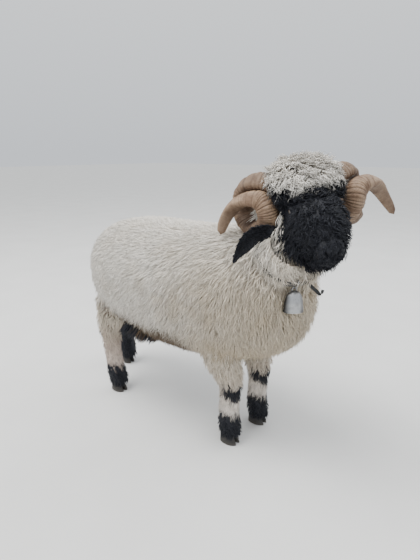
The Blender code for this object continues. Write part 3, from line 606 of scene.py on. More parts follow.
@dataclass(frozen=True)
class HornFinish:
    """Ribbed horn: cream with brown between the ribs, darker and redder towards the root, with painted shade
    on the coil's inner side.
    """

    cream: tuple = (0.305, 0.205, 0.130)
    tan: tuple = (0.150, 0.088, 0.052)
    brown: tuple = (0.042, 0.021, 0.013)

    def make(self) -> Material:
        """The horn's material, which reads the piece's attributes for its grooves and for its root's brown
        with the painted shade of the coil's inner side.

        Returns:
            The material.
        """
        made, nodes = material("horn")
        streak = nodes.noise(160.0, 4.0)
        broad = nodes.noise(28.0, 3.0)
        base = nodes.mix(nodes.spread(broad, 0.35, 0.65), self.cream, self.tan)
        # Brown in the grooves between ribs: dirt lodged there, and painted shade in the recess.
        groove = nodes.math("MULTIPLY", nodes.attribute("groove"), nodes.spread(streak, 0.3, 0.6, 0.5, 1.0))
        base = nodes.mix(nodes.math("MULTIPLY", groove, 0.97), base, self.brown)
        # Browner towards the root, and painted shade on the coil's inner side.
        base = nodes.mix(nodes.math("MULTIPLY", nodes.attribute("redden"), 0.75), base, self.brown)
        fleck = nodes.spread(nodes.noise(420.0, 2.0), 0.62, 0.72, 0.0, 0.35)
        base = nodes.mix(fleck, base, self.brown)
        height = nodes.math("ADD", nodes.noise(330.0, 4.0), streak)
        normal = nodes.bump(height, 0.8, 0.0020)
        rough = nodes.spread(broad, 0.3, 0.7, 0.55, 0.75)
        nodes.surface(base, rough, normal)
        return made


@dataclass(frozen=True)
class EyeFinish:
    """An amber eye with a level oblong pupil, wet and glossy."""

    amber: tuple = (0.034, 0.018, 0.007)
    rim: tuple = (0.014, 0.009, 0.006)
    pupil: tuple = (0.004, 0.004, 0.006)

    def make(self) -> Material:
        """The eye's material, which reads the iris and pupil attributes.

        Returns:
            The material.
        """
        made, nodes = material("eye")
        ring = nodes.mix(nodes.attribute("iris"), self.rim, self.amber)
        ring = nodes.mix(nodes.spread(nodes.noise(900.0, 3.0), 0.35, 0.65, 0.0, 0.5), ring, self.rim)
        colour = nodes.mix(nodes.attribute("pupil"), ring, self.pupil)
        nodes.surface(colour, 0.18, Coat_Weight=1.0, Coat_Roughness=0.03)
        return made


@dataclass(frozen=True)
class ClawFinish:
    """Dark horn of the claws, worn paler at the toe, with growth lines."""

    dark: tuple = (0.020, 0.018, 0.016)
    worn: tuple = (0.070, 0.060, 0.050)

    def make(self) -> Material:
        """The claws' material.

        Returns:
            The material.
        """
        made, nodes = material("claw")
        lines = nodes.noise(60.0, 4.0, (0.4, 0.4, 9.0))
        low = nodes.node("ShaderNodeSeparateXYZ", in_0=nodes.node("ShaderNodeTexCoord").outputs["Object"])
        wear = nodes.math("MULTIPLY", nodes.spread(low.outputs["Z"], 0.012, 0.0), 0.7)
        colour = nodes.mix(nodes.spread(lines, 0.4, 0.7, 0.0, 0.3), self.dark, self.worn)
        colour = nodes.mix(wear, colour, self.worn)
        nodes.surface(colour, nodes.spread(lines, 0.3, 0.7, 0.42, 0.62), nodes.bump(lines, 0.5, 0.0008))
        return made


@dataclass(frozen=True)
class StrapFinish:
    """Black woven strap, a little dusty, with its weave in bump."""

    black: tuple = (0.012, 0.014, 0.016)
    dust: tuple = (0.060, 0.060, 0.055)

    def make(self) -> Material:
        """The strap's material, woven over the piece's own around and across attributes.

        Returns:
            The material.
        """
        made, nodes = material("strap")
        around = nodes.math("SINE", nodes.math("MULTIPLY", nodes.attribute("around"), 2600.0))
        across = nodes.math("SINE", nodes.math("MULTIPLY", nodes.attribute("across"), 2600.0))
        weave = nodes.math("MULTIPLY", around, across)
        colour = nodes.mix(nodes.spread(nodes.noise(90.0, 4.0), 0.45, 0.75, 0.0, 0.6), self.black, self.dust)
        nodes.surface(colour, nodes.spread(weave, -1.0, 1.0, 0.55, 0.75), nodes.bump(weave, 0.6, 0.0004))
        return made


@dataclass(frozen=True)
class SteelFinish:
    """Grey sheet steel, brushed by use, with darker stains and fine scratches."""

    bright: tuple = (0.44, 0.445, 0.455)
    stain: tuple = (0.12, 0.117, 0.113)
    # Near-black painted shade for the bell's narrow sides and the clapper.
    edge: tuple = (0.030, 0.029, 0.028)

    def make(self) -> Material:
        """The steel's material.

        Returns:
            The material.
        """
        made, nodes = material("steel")
        stain = nodes.spread(nodes.noise(42.0, 5.0), 0.56, 0.80, 0.0, 0.6)
        colour = nodes.mix(stain, self.bright, self.stain)
        # Painted shade: darker towards the bell's narrow sides, and all over the clapper inside its mouth.
        colour = nodes.mix(nodes.math("MULTIPLY", nodes.attribute("edge"), 0.9), colour, self.edge)
        scratch = nodes.noise(420.0, 3.0, (1.0, 1.0, 0.06))
        rough = nodes.math("ADD", nodes.spread(scratch, 0.3, 0.7, 0.24, 0.40),
                           nodes.math("MULTIPLY", stain, 0.25))
        nodes.surface(colour, rough, nodes.bump(scratch, 0.12, 0.0006), Metallic=1.0)
        return made


@dataclass(frozen=True)
class Torso:
    """The torso's form: stations of X, back line, belly line and half width."""

    depth: float = 0.022
    square: float = 0.88
    stations: Rows = (
        (-0.354, 0.590, 0.490, 0.055), (-0.342, 0.636, 0.435, 0.110), (-0.318, 0.697, 0.390, 0.150),
        (-0.250, 0.750, 0.340, 0.194), (-0.130, 0.773, 0.305, 0.226), (0.000, 0.773, 0.288, 0.242),
        (0.160, 0.774, 0.284, 0.238), (0.300, 0.785, 0.300, 0.222), (0.415, 0.770, 0.335, 0.193),
        (0.490, 0.715, 0.380, 0.158), (0.532, 0.650, 0.430, 0.116), (0.546, 0.600, 0.480, 0.060))

    def form(self) -> Form:
        """The torso's skin as a form.

        Returns:
            The form.
        """
        rows = through(self.stations, 60)
        middle = rows[:, 2] + 0.52 * (rows[:, 1] - rows[:, 2])
        middles = np.stack([rows[:, 0], 0 * middle, middle], axis=1) + np.array(STANCE)
        halves = np.stack([rows[:, 3], rows[:, 1] - middle, middle - rows[:, 2]], axis=1) - self.depth
        return drawn_in(upright("torso", middles, (0.0, 1.0, 0.0), (0.0, 0.0, 1.0), halves, self.square))


@dataclass(frozen=True)
class Column:
    """A bent column's form, such as the neck or tail: ring middles and two half sizes."""

    name: str
    stations: Rows
    depth: float

    def form(self) -> Form:
        """The column's skin as a form.

        Returns:
            The form.
        """
        rows = through(self.stations, 40)
        ways = unit(np.gradient(rows[:, :3], axis=0))
        sides = unit(np.cross(ways, (0.0, 0.0, 1.0)))
        sides *= np.where(sides[:, 1:2] < 0, -1, 1)
        tops = unit(np.cross(ways, sides))
        halves = np.stack([rows[:, 3], rows[:, 4], rows[:, 4]], axis=1) - self.depth
        return drawn_in(Form(self.name, rows[:, :3] + np.array(STANCE), sides, tops, halves))


NECK = Column("neck", (
    (0.340, 0.000, 0.540, 0.150, 0.165), (0.410, -0.004, 0.635, 0.142, 0.158),
    (0.462, -0.014, 0.725, 0.118, 0.140), (0.495, -0.022, 0.800, 0.102, 0.120),
    (0.512, -0.026, 0.860, 0.085, 0.095)), 0.020)
TAIL = Column("tail", (
    (-0.315, 0.0, 0.665, 0.042, 0.030), (-0.350, 0.0, 0.630, 0.046, 0.030),
    (-0.367, 0.0, 0.565, 0.046, 0.029), (-0.369, 0.0, 0.495, 0.040, 0.026),
    (-0.364, 0.0, 0.445, 0.026, 0.020)), 0.010)


@dataclass(frozen=True)
class Leg:
    """One leg: where its foot stands, and rows of height, forward, outward, half length and width."""

    name: str
    foot: tuple[float, float]
    hind: bool
    lean: float = 0.0
    depth: float = 0.011
    coronet: float = 0.0323
    leg_top: float = 0.305
    square: float = 0.95
    coronet_taper: float = 0.004
    front_rows: Rows = (
        (0.440, -0.035, 0.015, 0.085, 0.062), (0.350, -0.035, 0.012, 0.078, 0.060),
        (0.290, -0.020, 0.006, 0.062, 0.055), (0.235, -0.004, 0.000, 0.050, 0.046),
        (0.190, -0.004, 0.000, 0.045, 0.043), (0.130, -0.006, 0.000, 0.046, 0.045),
        (0.075, -0.004, 0.000, 0.048, 0.047), (0.040, 0.004, 0.000, 0.044, 0.042))
    hind_rows: Rows = (
        (0.520, 0.075, -0.004, 0.050, 0.040), (0.460, 0.038, 0.008, 0.094, 0.066),
        (0.370, 0.006, 0.008, 0.074, 0.064),
        (0.300, -0.024, 0.004, 0.054, 0.052), (0.255, -0.032, 0.000, 0.047, 0.046),
        (0.180, -0.028, 0.000, 0.044, 0.043), (0.120, -0.020, 0.000, 0.047, 0.046),
        (0.070, -0.006, 0.000, 0.048, 0.048), (0.040, 0.002, 0.000, 0.044, 0.042))

    @property
    def outward(self) -> float:
        """The sign of the leg's side."""
        return math.copysign(1, self.foot[1])

    def form(self) -> Form:
        """The leg's skin as a form, down to the coronet.

        Returns:
            The form.
        """
        rows = through(self.hind_rows if self.hind else self.front_rows, 40)
        last = rows[-1].copy()
        last[0] = self.coronet
        last[3:] -= self.coronet_taper
        rows = np.vstack([rows, last])
        middles = np.stack([self.foot[0] + rows[:, 1] + self.lean * rows[:, 0] / self.leg_top,
                            self.foot[1] + rows[:, 2] * self.outward, rows[:, 0]], axis=1)
        halves = rows[:, [4, 3, 3]] - self.depth
        return drawn_in(upright("leg_" + self.name, middles + np.array(STANCE), (0.0, 1.0, 0.0),
                                (1.0, 0.0, 0.0), halves, self.square), last=False)


LEGS = (Leg("front_right", (0.333, -0.081), False), Leg("front_left", (0.348, 0.081), False),
        Leg("hind_right", (-0.254, -0.098), True), Leg("hind_left", (-0.426, 0.099), True, 0.050))


@dataclass(frozen=True)
class Head:
    """The head's forms: its bare skin, the wool's core round it, jaw, topknot and lips."""

    skin_rows: Rows = (
        (-0.062, -0.030, -0.105, 0.040), (-0.045, -0.004, -0.122, 0.054), (0.000, 0.014, -0.130, 0.064),
        (0.050, 0.022, -0.128, 0.067), (0.090, 0.020, -0.120, 0.064), (0.130, 0.012, -0.108, 0.053),
        (0.170, 0.002, -0.097, 0.044), (0.210, -0.010, -0.089, 0.040), (0.235, -0.020, -0.083, 0.035),
        (0.248, -0.034, -0.074, 0.024))
    wool: tuple[float, ...] = (0.026, 0.030, 0.026, 0.020, 0.024, 0.033, 0.032, 0.016)
    wool_depth: float = 0.012
    square: float = 0.92
    jaw: tuple = ((0.150, 0.000, -0.085), (0.085, 0.058, 0.060))
    topknot: tuple = ((-0.005, -0.008, 0.010), (0.100, 0.116, 0.082))
    topknot_depth: float = 0.024
    lower_lip: tuple = ((0.206, 0.000, -0.086), (0.034, 0.030, 0.017))
    upper_lip: tuple = ((0.228, 0.015, -0.058), (0.022, 0.018, 0.013))

    def lofted(self, name: str, rows: np.ndarray, grow: np.ndarray) -> Form:
        """A form round the skull's long axis.

        Args:
            name: The form's name.
            rows: Station, top, underside and half width.
            grow: How much larger each row is made.

        Returns:
            The form.
        """
        middle = rows[:, 1] - 0.46 * (rows[:, 1] - rows[:, 2])
        halves = np.stack([rows[:, 3], rows[:, 1] - middle, middle - rows[:, 2]], axis=1) + grow[:, None]
        turn = np.array(SKULL.frame())
        middles = carried(np.stack([rows[:, 0], 0 * middle, middle], axis=1), turn) + np.array(STANCE)
        return drawn_in(upright(name, middles, turn[:3, 1], turn[:3, 2], halves, self.square))

    def skin(self) -> Form:
        """The bare skin from the nape to the nose."""
        rows = through(self.skin_rows, 48)
        return self.lofted("head", rows, np.zeros(48))

    def fleece(self) -> Form:
        """The core of the wool round the nape, cheeks and jaw.

        Returns:
            The form.
        """
        rows = through(self.skin_rows[:len(self.wool)], 40)
        depth = through(tuple((w,) for w in self.wool), 40)[:, 0]
        return self.lofted("face", rows, depth - self.wool_depth)

    def beard(self) -> Form:
        """The same core, as the place of the long wool that hangs from the jaw."""
        return replace(self.fleece(), name="beard")

    def ball(self, name: str, middle: tuple, radii: tuple, shrink: float = 0.0) -> Form:
        """An egg-shaped form in the skull's frame.

        Args:
            name: The form's name.
            middle: Its middle.
            radii: Its three half sizes.
            shrink: How much smaller it is made.

        Returns:
            The form, with its rings stacked along the skull's up.
        """
        turn = np.array(SKULL.frame())
        angles = np.linspace(math.radians(86), math.radians(-86), 32)
        radii = np.array(radii) - shrink
        at = np.array(middle) + np.stack([0 * angles, 0 * angles, radii[2] * np.sin(angles)], axis=1)
        halves = np.cos(angles)[:, None] * radii[[1, 0, 0]]
        return upright(name, carried(at, turn) + np.array(STANCE), turn[:3, 1], turn[:3, 0], halves)

    def lips(self) -> list[Form]:
        """The lower lip and the two lobes of the upper lip.

        Returns:
            The three forms.
        """
        (along, out, up), lip = self.upper_lip
        return [self.ball("head", *self.lower_lip), self.ball("head", (along, -out, up), lip),
                self.ball("head", (along, out, up), lip)]

    def forms(self) -> list[Form]:
        """Every form that the head's skin is fused from."""
        return [self.skin(), self.fleece(), self.ball("jaw", *self.jaw, self.wool_depth),
                self.ball("topknot", *self.topknot, self.topknot_depth), *self.lips()]


@dataclass(frozen=True)
class Ear:
    """One leaf-shaped ear in the level frame of the poll."""

    side: Side
    root: tuple
    bend: tuple
    tip: tuple
    facing: tuple = (0.90, 0.30, 0.00)
    rows: Rows = (
        (0.00, 0.014, 0.012, 0.006), (0.18, 0.021, 0.009, 0.010), (0.42, 0.026, 0.008, 0.010),
        (0.66, 0.023, 0.007, 0.008), (0.86, 0.014, 0.006, 0.005), (1.00, 0.004, 0.005, 0.001))
    thin: float = 0.0012
    points: int = 15

    def rings(self) -> list[np.ndarray]:
        """Rings round the ear from its root to its tip, in the solids' frame.

        Returns:
            The rings.
        """
        root, bend, tip = (np.array(place, float) for place in (self.root, self.bend, self.tip))
        made = []
        for share, half, thick, cup in through(self.rows, 28):
            low, high = root + (bend - root) * share, bend + (tip - bend) * share
            way = unit((bend - root) * (1 - share) + (tip - bend) * share)
            across = unit(np.cross(way, self.facing))
            face = unit(np.cross(across, way))
            t = np.linspace(-1, 1, self.points)[:, None]
            edge = np.sqrt(np.maximum(0, 1 - t * t * 0.92)) * (thick / 2 - self.thin)
            at = low + (high - low) * share + across * t * (half - self.thin) + face * cup * t * t
            ring = np.vstack([at - face * edge, (at + face * edge)[::-1]])
            ring[:, 1] *= self.side.value
            made.append(carried(ring, SKULL.frame(0.0)) + np.array(STANCE))
        return made


EARS = (Ear(Side.RIGHT, (0.025, 0.105, -0.100), (0.000, 0.172, -0.092), (0.010, 0.224, -0.170)),
        Ear(Side.LEFT, (-0.020, 0.075, -0.105), (-0.060, 0.092, -0.140), (-0.110, 0.110, -0.190)))


@dataclass(frozen=True)
class Markings:
    """Where the wool is black, warm, pink or dirty, and where shade is painted on it, as smooth rules over
    the ram's own frame.
    """

    face_line: float = 0.030
    topknot_low: float = 0.018
    sock: float = 0.118
    knee_low: float = 0.168
    knee_high: float = 0.248
    # The middle and reach of the black painted between the hind legs as shade under the belly.
    groin_shade: Rows = ((-0.045, -0.14, 0.350), (0.066, 0.13, 0.074))
    hock: Rows = ((-0.072, 0.036, 0.290), (0.034, 0.030, 0.027))

    def read(self, points: np.ndarray, part: str) -> dict[str, np.ndarray]:
        """The markings at places of the coat or skin.

        Args:
            points: Places in the solids' frame.
            part: The name of the form that they are on.

        Returns:
            Values from 0 to 1 for black, warm, pink, and dirt with painted shade, and tone about 1.
        """
        own = points - np.array(STANCE)
        x, y, z = own[:, 0], own[:, 1], own[:, 2]
        wander = ripple(own, 0.030) * 0.5 + ripple(own + 3.1, 0.011) * 0.5
        made = {key: np.zeros(len(points)) for key in ("black", "warm", "pink", "dirt")}
        skull = local(points, SKULL.frame())
        if part == "ear":
            made["black"] += 1.0
        elif part == "beard":
            made["black"] = np.maximum(ramp(0.020, 0.034, skull[:, 0] + 0.010 * wander),
                                       ramp(-0.090, -0.070, skull[:, 2] + 0.010 * wander))
        elif part in (*FACE_PARTS, "topknot"):
            brow = skull[:, 0] + 0.010 * wander
            face = ramp(self.face_line, self.face_line + 0.016, brow + 0.55 * np.abs(skull[:, 1]) - 0.020)
            crown = ramp(self.topknot_low, self.topknot_low + 0.016,
                         skull[:, 2] + 0.012 * wander - 0.30 * skull[:, 0])
            throat = ramp(-0.134, -0.150, skull[:, 2] + 0.25 * (skull[:, 0] - 0.060) + 0.010 * wander)
            under = ramp(-0.05, -0.09, skull[:, 2])
            nape = ramp(0.010, -0.006, skull[:, 0] + 0.010 * wander - 0.048 * under + 0.022)
            black = np.maximum(face, 1 - nape) * (1 - crown)
            back = np.maximum(throat, nape) * ramp(0.125, 0.095, skull[:, 0])
            made["black"] = np.clip(black * (1 - back), 0, 1)
            made["dirt"] = 0.30 * ramp(0.2, 0.9, ripple(own, 0.05)) * (1 - made["black"])
        elif part.startswith("leg"):
            leg = next(item for item in LEGS if part.endswith(item.name))
            ahead = (x - leg.foot[0] + 0.004) / 0.040
            edge = 0.020 * wander
            sock = ramp(self.sock + 0.008, self.sock - 0.008,
                        z + edge - 0.016 * np.abs(y - leg.foot[1]) / 0.04)
            if leg.hind:
                (back, out, up), reach = self.hock
                hock = own - np.array((leg.foot[0] + back, leg.foot[1] + out * leg.outward, up))
                spot = ramp(1.1, 0.7, np.linalg.norm(hock / np.array(reach), axis=1))
                patch = np.maximum(ramp(0.330, 0.300, z + edge) * (leg.foot[1] > 0), spot)
            else:
                sharp = (z - self.knee_low) / (self.knee_high - self.knee_low)
                wide = np.abs(y - leg.foot[1]) / 0.045
                patch = (ramp(self.knee_high + 0.006, self.knee_high - 0.006, z + edge)
                         * ramp(-0.10, 0.15, sharp - 0.7 * wide**2 + edge * 8) * ramp(-0.5, 0.1, ahead))
            made["black"] = np.maximum(sock, patch)
            made["pink"] = 0.50 * ramp(0.38, 0.18, z) * (1.0 if leg.hind else 0.35)
            made["warm"] = 0.50 * ramp(0.14, 0.30, z)
            made["dirt"] = 0.30 * ramp(0.34, 0.14, z) * ramp(-0.6, 0.8, wander) + 0.10
        else:
            cloud = 0.5 * ripple(own, 0.16) + 0.5 * ripple(own + 5.0, 0.07)
            low = ramp(0.50, 0.29, z + 0.03 * cloud)
            chest = ramp(0.02, 0.42, x + 0.08 * cloud) * ramp(0.80, 0.60, z + 0.04 * cloud)
            made["warm"] = np.clip(0.55 * chest + 0.42 * low + 0.16 * ramp(-0.2, 0.9, cloud) + 0.06, 0, 0.85)
            # Torso: dark brown along the belly's edge between the legs; the darkening down the flank (low,
            # and below the back) is painted shade; the cloud and wander terms are random dirt.
            made["dirt"] = np.clip(0.90 * ramp(0.475, 0.385, z + 0.02 * wander) * ramp(-0.36, -0.27, x)
                                   * ramp(0.26, 0.18, x) + 0.15 * low + 0.08 * ramp(0.70, 0.45, z)
                                   + 0.08 * ramp(0.1, 0.9, -wander)
                                   + 0.10 * ramp(0.3, 1.0, cloud), 0, 1)
            made["pink"] = 0.30 * ramp(-0.16, -0.33, x) * low
            # Black painted between the hind legs as shade under the belly.
            groin_shade = (own - np.array(self.groin_shade[0])) / np.array(self.groin_shade[1])
            made["black"] = ramp(1.1, 0.8, np.linalg.norm(groin_shade, axis=1) + 0.3 * wander)
        streak = ripple(own * np.array((1.0, 1.0, 0.35)), 0.019)
        made["tone"] = 1.0 + 0.03 * streak + 0.04 * ripple(own, 0.11)
        return made


MARKINGS = Markings()


class Skin:
    """The one skin under the coat, fused from the body's forms, with the face worked in."""

    def __init__(self, body_voxel: float = 0.0085, head_voxel: float = 0.0021) -> None:
        """Sets the sizes that the forms are fused at.

        Args:
            body_voxel: The grain of the body.
            head_voxel: The grain of the head.
        """
        self.body_voxel = body_voxel
        self.head_voxel = head_voxel
        self.tree: BVHTree | None = None

    def fused(self, name: str, shells: list[BMesh], voxel: float, rounds: int) -> Object:
        """One closed surface over several shells.

        Args:
            name: The new object's name.
            shells: The closed shells, which are freed.
            voxel: The size of the grain.
            rounds: How many times it is smoothed.

        Returns:
            The new object.
        """
        whole = bmesh.new()
        for shell in shells:
            mesh = bpy.data.meshes.new("shell")
            shell.to_mesh(mesh)
            shell.free()
            whole.from_mesh(mesh)
            bpy.data.meshes.remove(mesh)
        made = piece(name, whole)
        grain = made.modifiers.new("grain", "REMESH")
        grain.mode = "VOXEL"
        grain.voxel_size = voxel
        smooth = made.modifiers.new("smooth", "SMOOTH")
        smooth.factor = 0.5
        smooth.iterations = rounds
        return settled(made)

    def carve_face(self, obj: Object) -> None:
        """Works the nostrils, mouth, cleft and lids into the head's surface.

        Args:
            obj: The head's surface, changed in place.
        """
        co = mesh_points(obj)
        normals = np.empty(len(co) * 3, np.float32)
        obj.data.vertices.foreach_get("normal", normals)
        normals = normals.reshape(-1, 3).astype(float)
        p = local(co, SKULL.frame())
        push = np.zeros(len(co))
        side = np.abs(p[:, 1])
        nose = ramp(0.200, 0.225, p[:, 0])
        below = p[:, 2] + SKULL.nostril_drop
        slit = np.hypot((side - SKULL.nostril_out - 0.55 * below) / 0.0030, below / 0.0085)
        push -= 0.0070 * ramp(1.25, 0.45, slit) * nose
        push += 0.0020 * ramp(0.5, 0.0, np.abs(slit - 1.55)) * nose
        mouth = np.abs(p[:, 2] + 0.0690 - 0.10 * (0.235 - p[:, 0]))
        push -= 0.0042 * ramp(0.0040, 0.0006, mouth) * ramp(0.150, 0.172, p[:, 0])
        cleft = ramp(0.0032, 0.0006, side) * ramp(0.205, 0.225, p[:, 0]) * ramp(-0.070, -0.062, p[:, 2])
        push -= 0.0028 * cleft * ramp(-0.024, -0.034, p[:, 2])
        eye = SKULL.from_eye(p)
        reach = np.linalg.norm(eye, axis=1)
        opening = np.hypot(eye[:, 0] / SKULL.lid_reach, (eye[:, 2] + 0.10 * eye[:, 0]) / 0.0075)
        around = ramp(0.030, 0.018, reach) * ramp(0.0, 0.006, eye[:, 1])
        lid = ramp(0.75, 0.12, np.abs(opening - 1.30)) * around
        co += normals * push[:, None]
        own = p.copy()
        target = np.where(opening < 1.05, SKULL.eye_radius - 0.004, SKULL.eye_radius + 0.0034)
        share = np.clip(ramp(2.6, 1.2, opening) * around + lid, 0, 1)[:, None]
        moved = eye * (1 - share) + unit(eye) * target[:, None] * share
        own[:, 0] = SKULL.eye[0] + moved[:, 0]
        own[:, 1] = np.where(share[:, 0] > 0, np.sign(p[:, 1]) * (SKULL.eye[1] + moved[:, 1]), own[:, 1])
        own[:, 2] = SKULL.eye[2] + moved[:, 2]
        back = carried(own, SKULL.frame()) + np.array(STANCE)
        co = np.where(share > 0.01, back + normals * push[:, None], co)
        obj.data.vertices.foreach_set("co", co.astype(np.float32).ravel())
        obj.data.update()

    def build(self, material_made: Material) -> Object:
        """Fuses the skin, carves the face and writes its markings.

        Args:
            material_made: The skin's finish.

        Returns:
            The skin object.
        """
        body_forms = [Torso().form(), NECK.form(), TAIL.form()] + [leg.form() for leg in LEGS]
        body = self.fused("skin", [form.shell(50, 40) for form in body_forms], self.body_voxel, 6)
        head_shells = [form.shell(40, 40) for form in Head().forms()]
        head_shells += [tube(ear.rings()) for ear in EARS]
        head = self.fused("head_skin", head_shells, self.head_voxel, 5)
        self.carve_face(head)
        join = body.modifiers.new("join", "BOOLEAN")
        join.operation = "UNION"
        join.object = head
        join.solver = "MANIFOLD"
        settled(body)
        bpy.data.objects.remove(head, do_unlink=True)
        body.data.shade_smooth()
        bm = bmesh.new()
        bm.from_mesh(body.data)
        self.tree = BVHTree.FromBMesh(bm)
        bm.free()
        body.data.materials.clear()
        body.data.materials.append(material_made)
        body.data.polygons.foreach_set("material_index", np.zeros(len(body.data.polygons), np.int32))
        self.mark(body)
        return body

    def mark(self, body: Object) -> None:
        """Writes the coat's markings onto the skin, each vertex as its nearest form says.

        Args:
            body: The skin.
        """
        co = mesh_points(body)
        own = local(co, Matrix.Identity(4))
        skull = local(co, SKULL.frame())
        head = (skull[:, 0] > -0.10) & (np.abs(skull[:, 1]) < 0.16) & (skull[:, 2] > -0.165)
        ring_points = np.concatenate([np.concatenate(item.rings()[3:]) for item in EARS])
        tree = KDTree(len(ring_points))
        for i, point in enumerate(ring_points):
            tree.insert(point, i)
        tree.balance()
        near = (np.abs(skull) < np.array((0.30, 0.30, 0.30))).all(1)
        ear = np.array([flag and tree.find(point)[2] < 0.012 for flag, point in zip(near, co)])
        values = MARKINGS.read(co, "torso")
        for leg in LEGS:
            near = (own[:, 2] < 0.30) & (np.abs(own[:, 0] - leg.foot[0]) < 0.14)
            near &= own[:, 1] * leg.outward > 0
            self.lay(values, MARKINGS.read(co, "leg_" + leg.name), near)
        self.lay(values, MARKINGS.read(co, "head"), head & (own[:, 2] > 0.60) & (own[:, 0] > 0.40))
        self.lay(values, MARKINGS.read(co, "ear"), ear)
        for key, value in values.items():
            give(body.data, key, value)

    def lay(self, values: dict[str, np.ndarray], over: dict[str, np.ndarray], where: np.ndarray) -> None:
        """Lays one set of markings over another where a mask says."""
        for key in values:
            values[key] = np.where(where, over[key], values[key])


@dataclass(frozen=True)
class Tuft:
    """One kind of tuft: its size, how it lifts off the skin, and how it waves and strays."""

    length: float
    half_width: float
    lift: float = 40.0
    settle: float = 8.0
    wave: float = 0.0020
    waves: float = 1.6
    stray: float = 0.22
    rings: int = 5
    flat: float = 0.5
    spread: float = 0.25
    clump: float = 0.45
    per_clump: int = 12
    sunk: float = 0.003
    clump_reach: float = 0.035

    def grow(self, roots: np.ndarray, normals: np.ndarray, ways: np.ndarray, scale: np.ndarray,
             chance: np.random.Generator) -> tuple[np.ndarray, np.ndarray]:
        """Grows one three-sided tapered tuft from each root.

        Args:
            roots: Places on the skin.
            normals: The skin's normals there.
            ways: The lie of the coat there, along the skin.
            scale: The size of each tuft against this kind's.
            chance: The source of the random draws.

        Returns:
            The rings' points, by tuft, ring and corner, and the tips.
        """
        count = len(roots)
        scale = scale * chance.uniform(1 - self.spread, 1 + self.spread, count)
        across = unit(np.cross(normals, ways))
        sway = chance.normal(0, self.stray, count)[:, None]
        ways = unit(ways + across * sway)
        across = unit(np.cross(normals, ways))
        steps = self.rings
        lift = np.radians(self.lift) * chance.uniform(0.75, 1.25, count)
        settle = np.radians(self.settle) + chance.normal(0, 0.10, count)
        phase = chance.uniform(0, 2 * math.pi, count)
        turns = self.waves * chance.uniform(0.7, 1.3, count)
        at = roots - normals * self.sunk
        line = [at]
        step = (self.length * scale / steps)[:, None]
        for j in range(steps):
            share = (j + 0.5) / steps
            angle = (lift * (1 - share) ** 1.2 + settle * share)[:, None]
            at = at + (ways * np.cos(angle) + normals * np.sin(angle)) * step
            line.append(at)
        line = np.stack(line, axis=1)
        share = np.linspace(0, 1, steps + 1)[None, :]
        swing = 2 * math.pi * turns[:, None] * share + phase[:, None]
        reach = self.wave * scale[:, None] * np.minimum(1, share * 2.2)
        line += across[:, None] * (reach * (np.sin(swing) - np.sin(phase)[:, None]))[..., None]
        line += normals[:, None] * (0.6 * reach * (np.cos(swing) - np.cos(phase)[:, None]))[..., None]
        line = self.gathered(line, share[0], chance)
        way = unit(np.gradient(line, axis=1))
        wide = unit(np.cross(normals[:, None], way))
        thick = unit(np.cross(way, wide))
        twist = chance.uniform(0, 2 * math.pi, count)[:, None]
        taper = np.array([0.75 + 0.25 * min(1, s * 5) if s < 0.35 else (1 - ((s - 0.35) / 0.72) ** 1.6)
                          for s in share[0]])
        half = self.half_width * np.sqrt(scale)[:, None] * taper[None, :]
        corners = []
        for k in range(3):
            turn = twist + 2 * math.pi * k / 3
            corners.append(line + wide * (np.cos(turn) * half)[..., None]
                           + thick * (np.sin(turn) * half * self.flat)[..., None])
        rings = np.stack(corners, axis=2)[:, :-1]
        return rings, line[:, -1]

    def gathered(self, line: np.ndarray, share: np.ndarray, chance: np.random.Generator) -> np.ndarray:
        """Draws the tufts' tips together into locks.

        Args:
            line: The tufts' middle lines, by tuft and ring.
            share: How far along the tuft each ring is.
            chance: The source of the random draws.

        Returns:
            The lines, gathered.
        """
        count = len(line)
        leads = chance.permutation(count)[:max(count // self.per_clump, 1)]
        tree = KDTree(len(leads))
        for i, lead in enumerate(leads):
            tree.insert(line[lead, 0], i)
        tree.balance()
        lead = leads[[tree.find(root)[1] for root in line[:, 0]]]
        near = np.linalg.norm(line[lead, 0] - line[:, 0], axis=1) < self.clump_reach
        pull = (self.clump * near * chance.uniform(0.6, 1.3, count))[:, None] * share[None, :] ** 1.4
        return line + (line[lead] - line) * np.minimum(pull, 0.95)[..., None]


@dataclass(frozen=True)
class Patch:
    """A stretch of the coat: its form, kind of tuft, how many, and where on the form they root."""

    piece: str
    form: Form
    tuft: Tuft
    count: int
    shares: tuple[float, float] = (0.0, 1.0)
    turns: tuple[float, float] = (0.0, 2 * math.pi)
    reach: float = 0.016
    snapped: bool = True


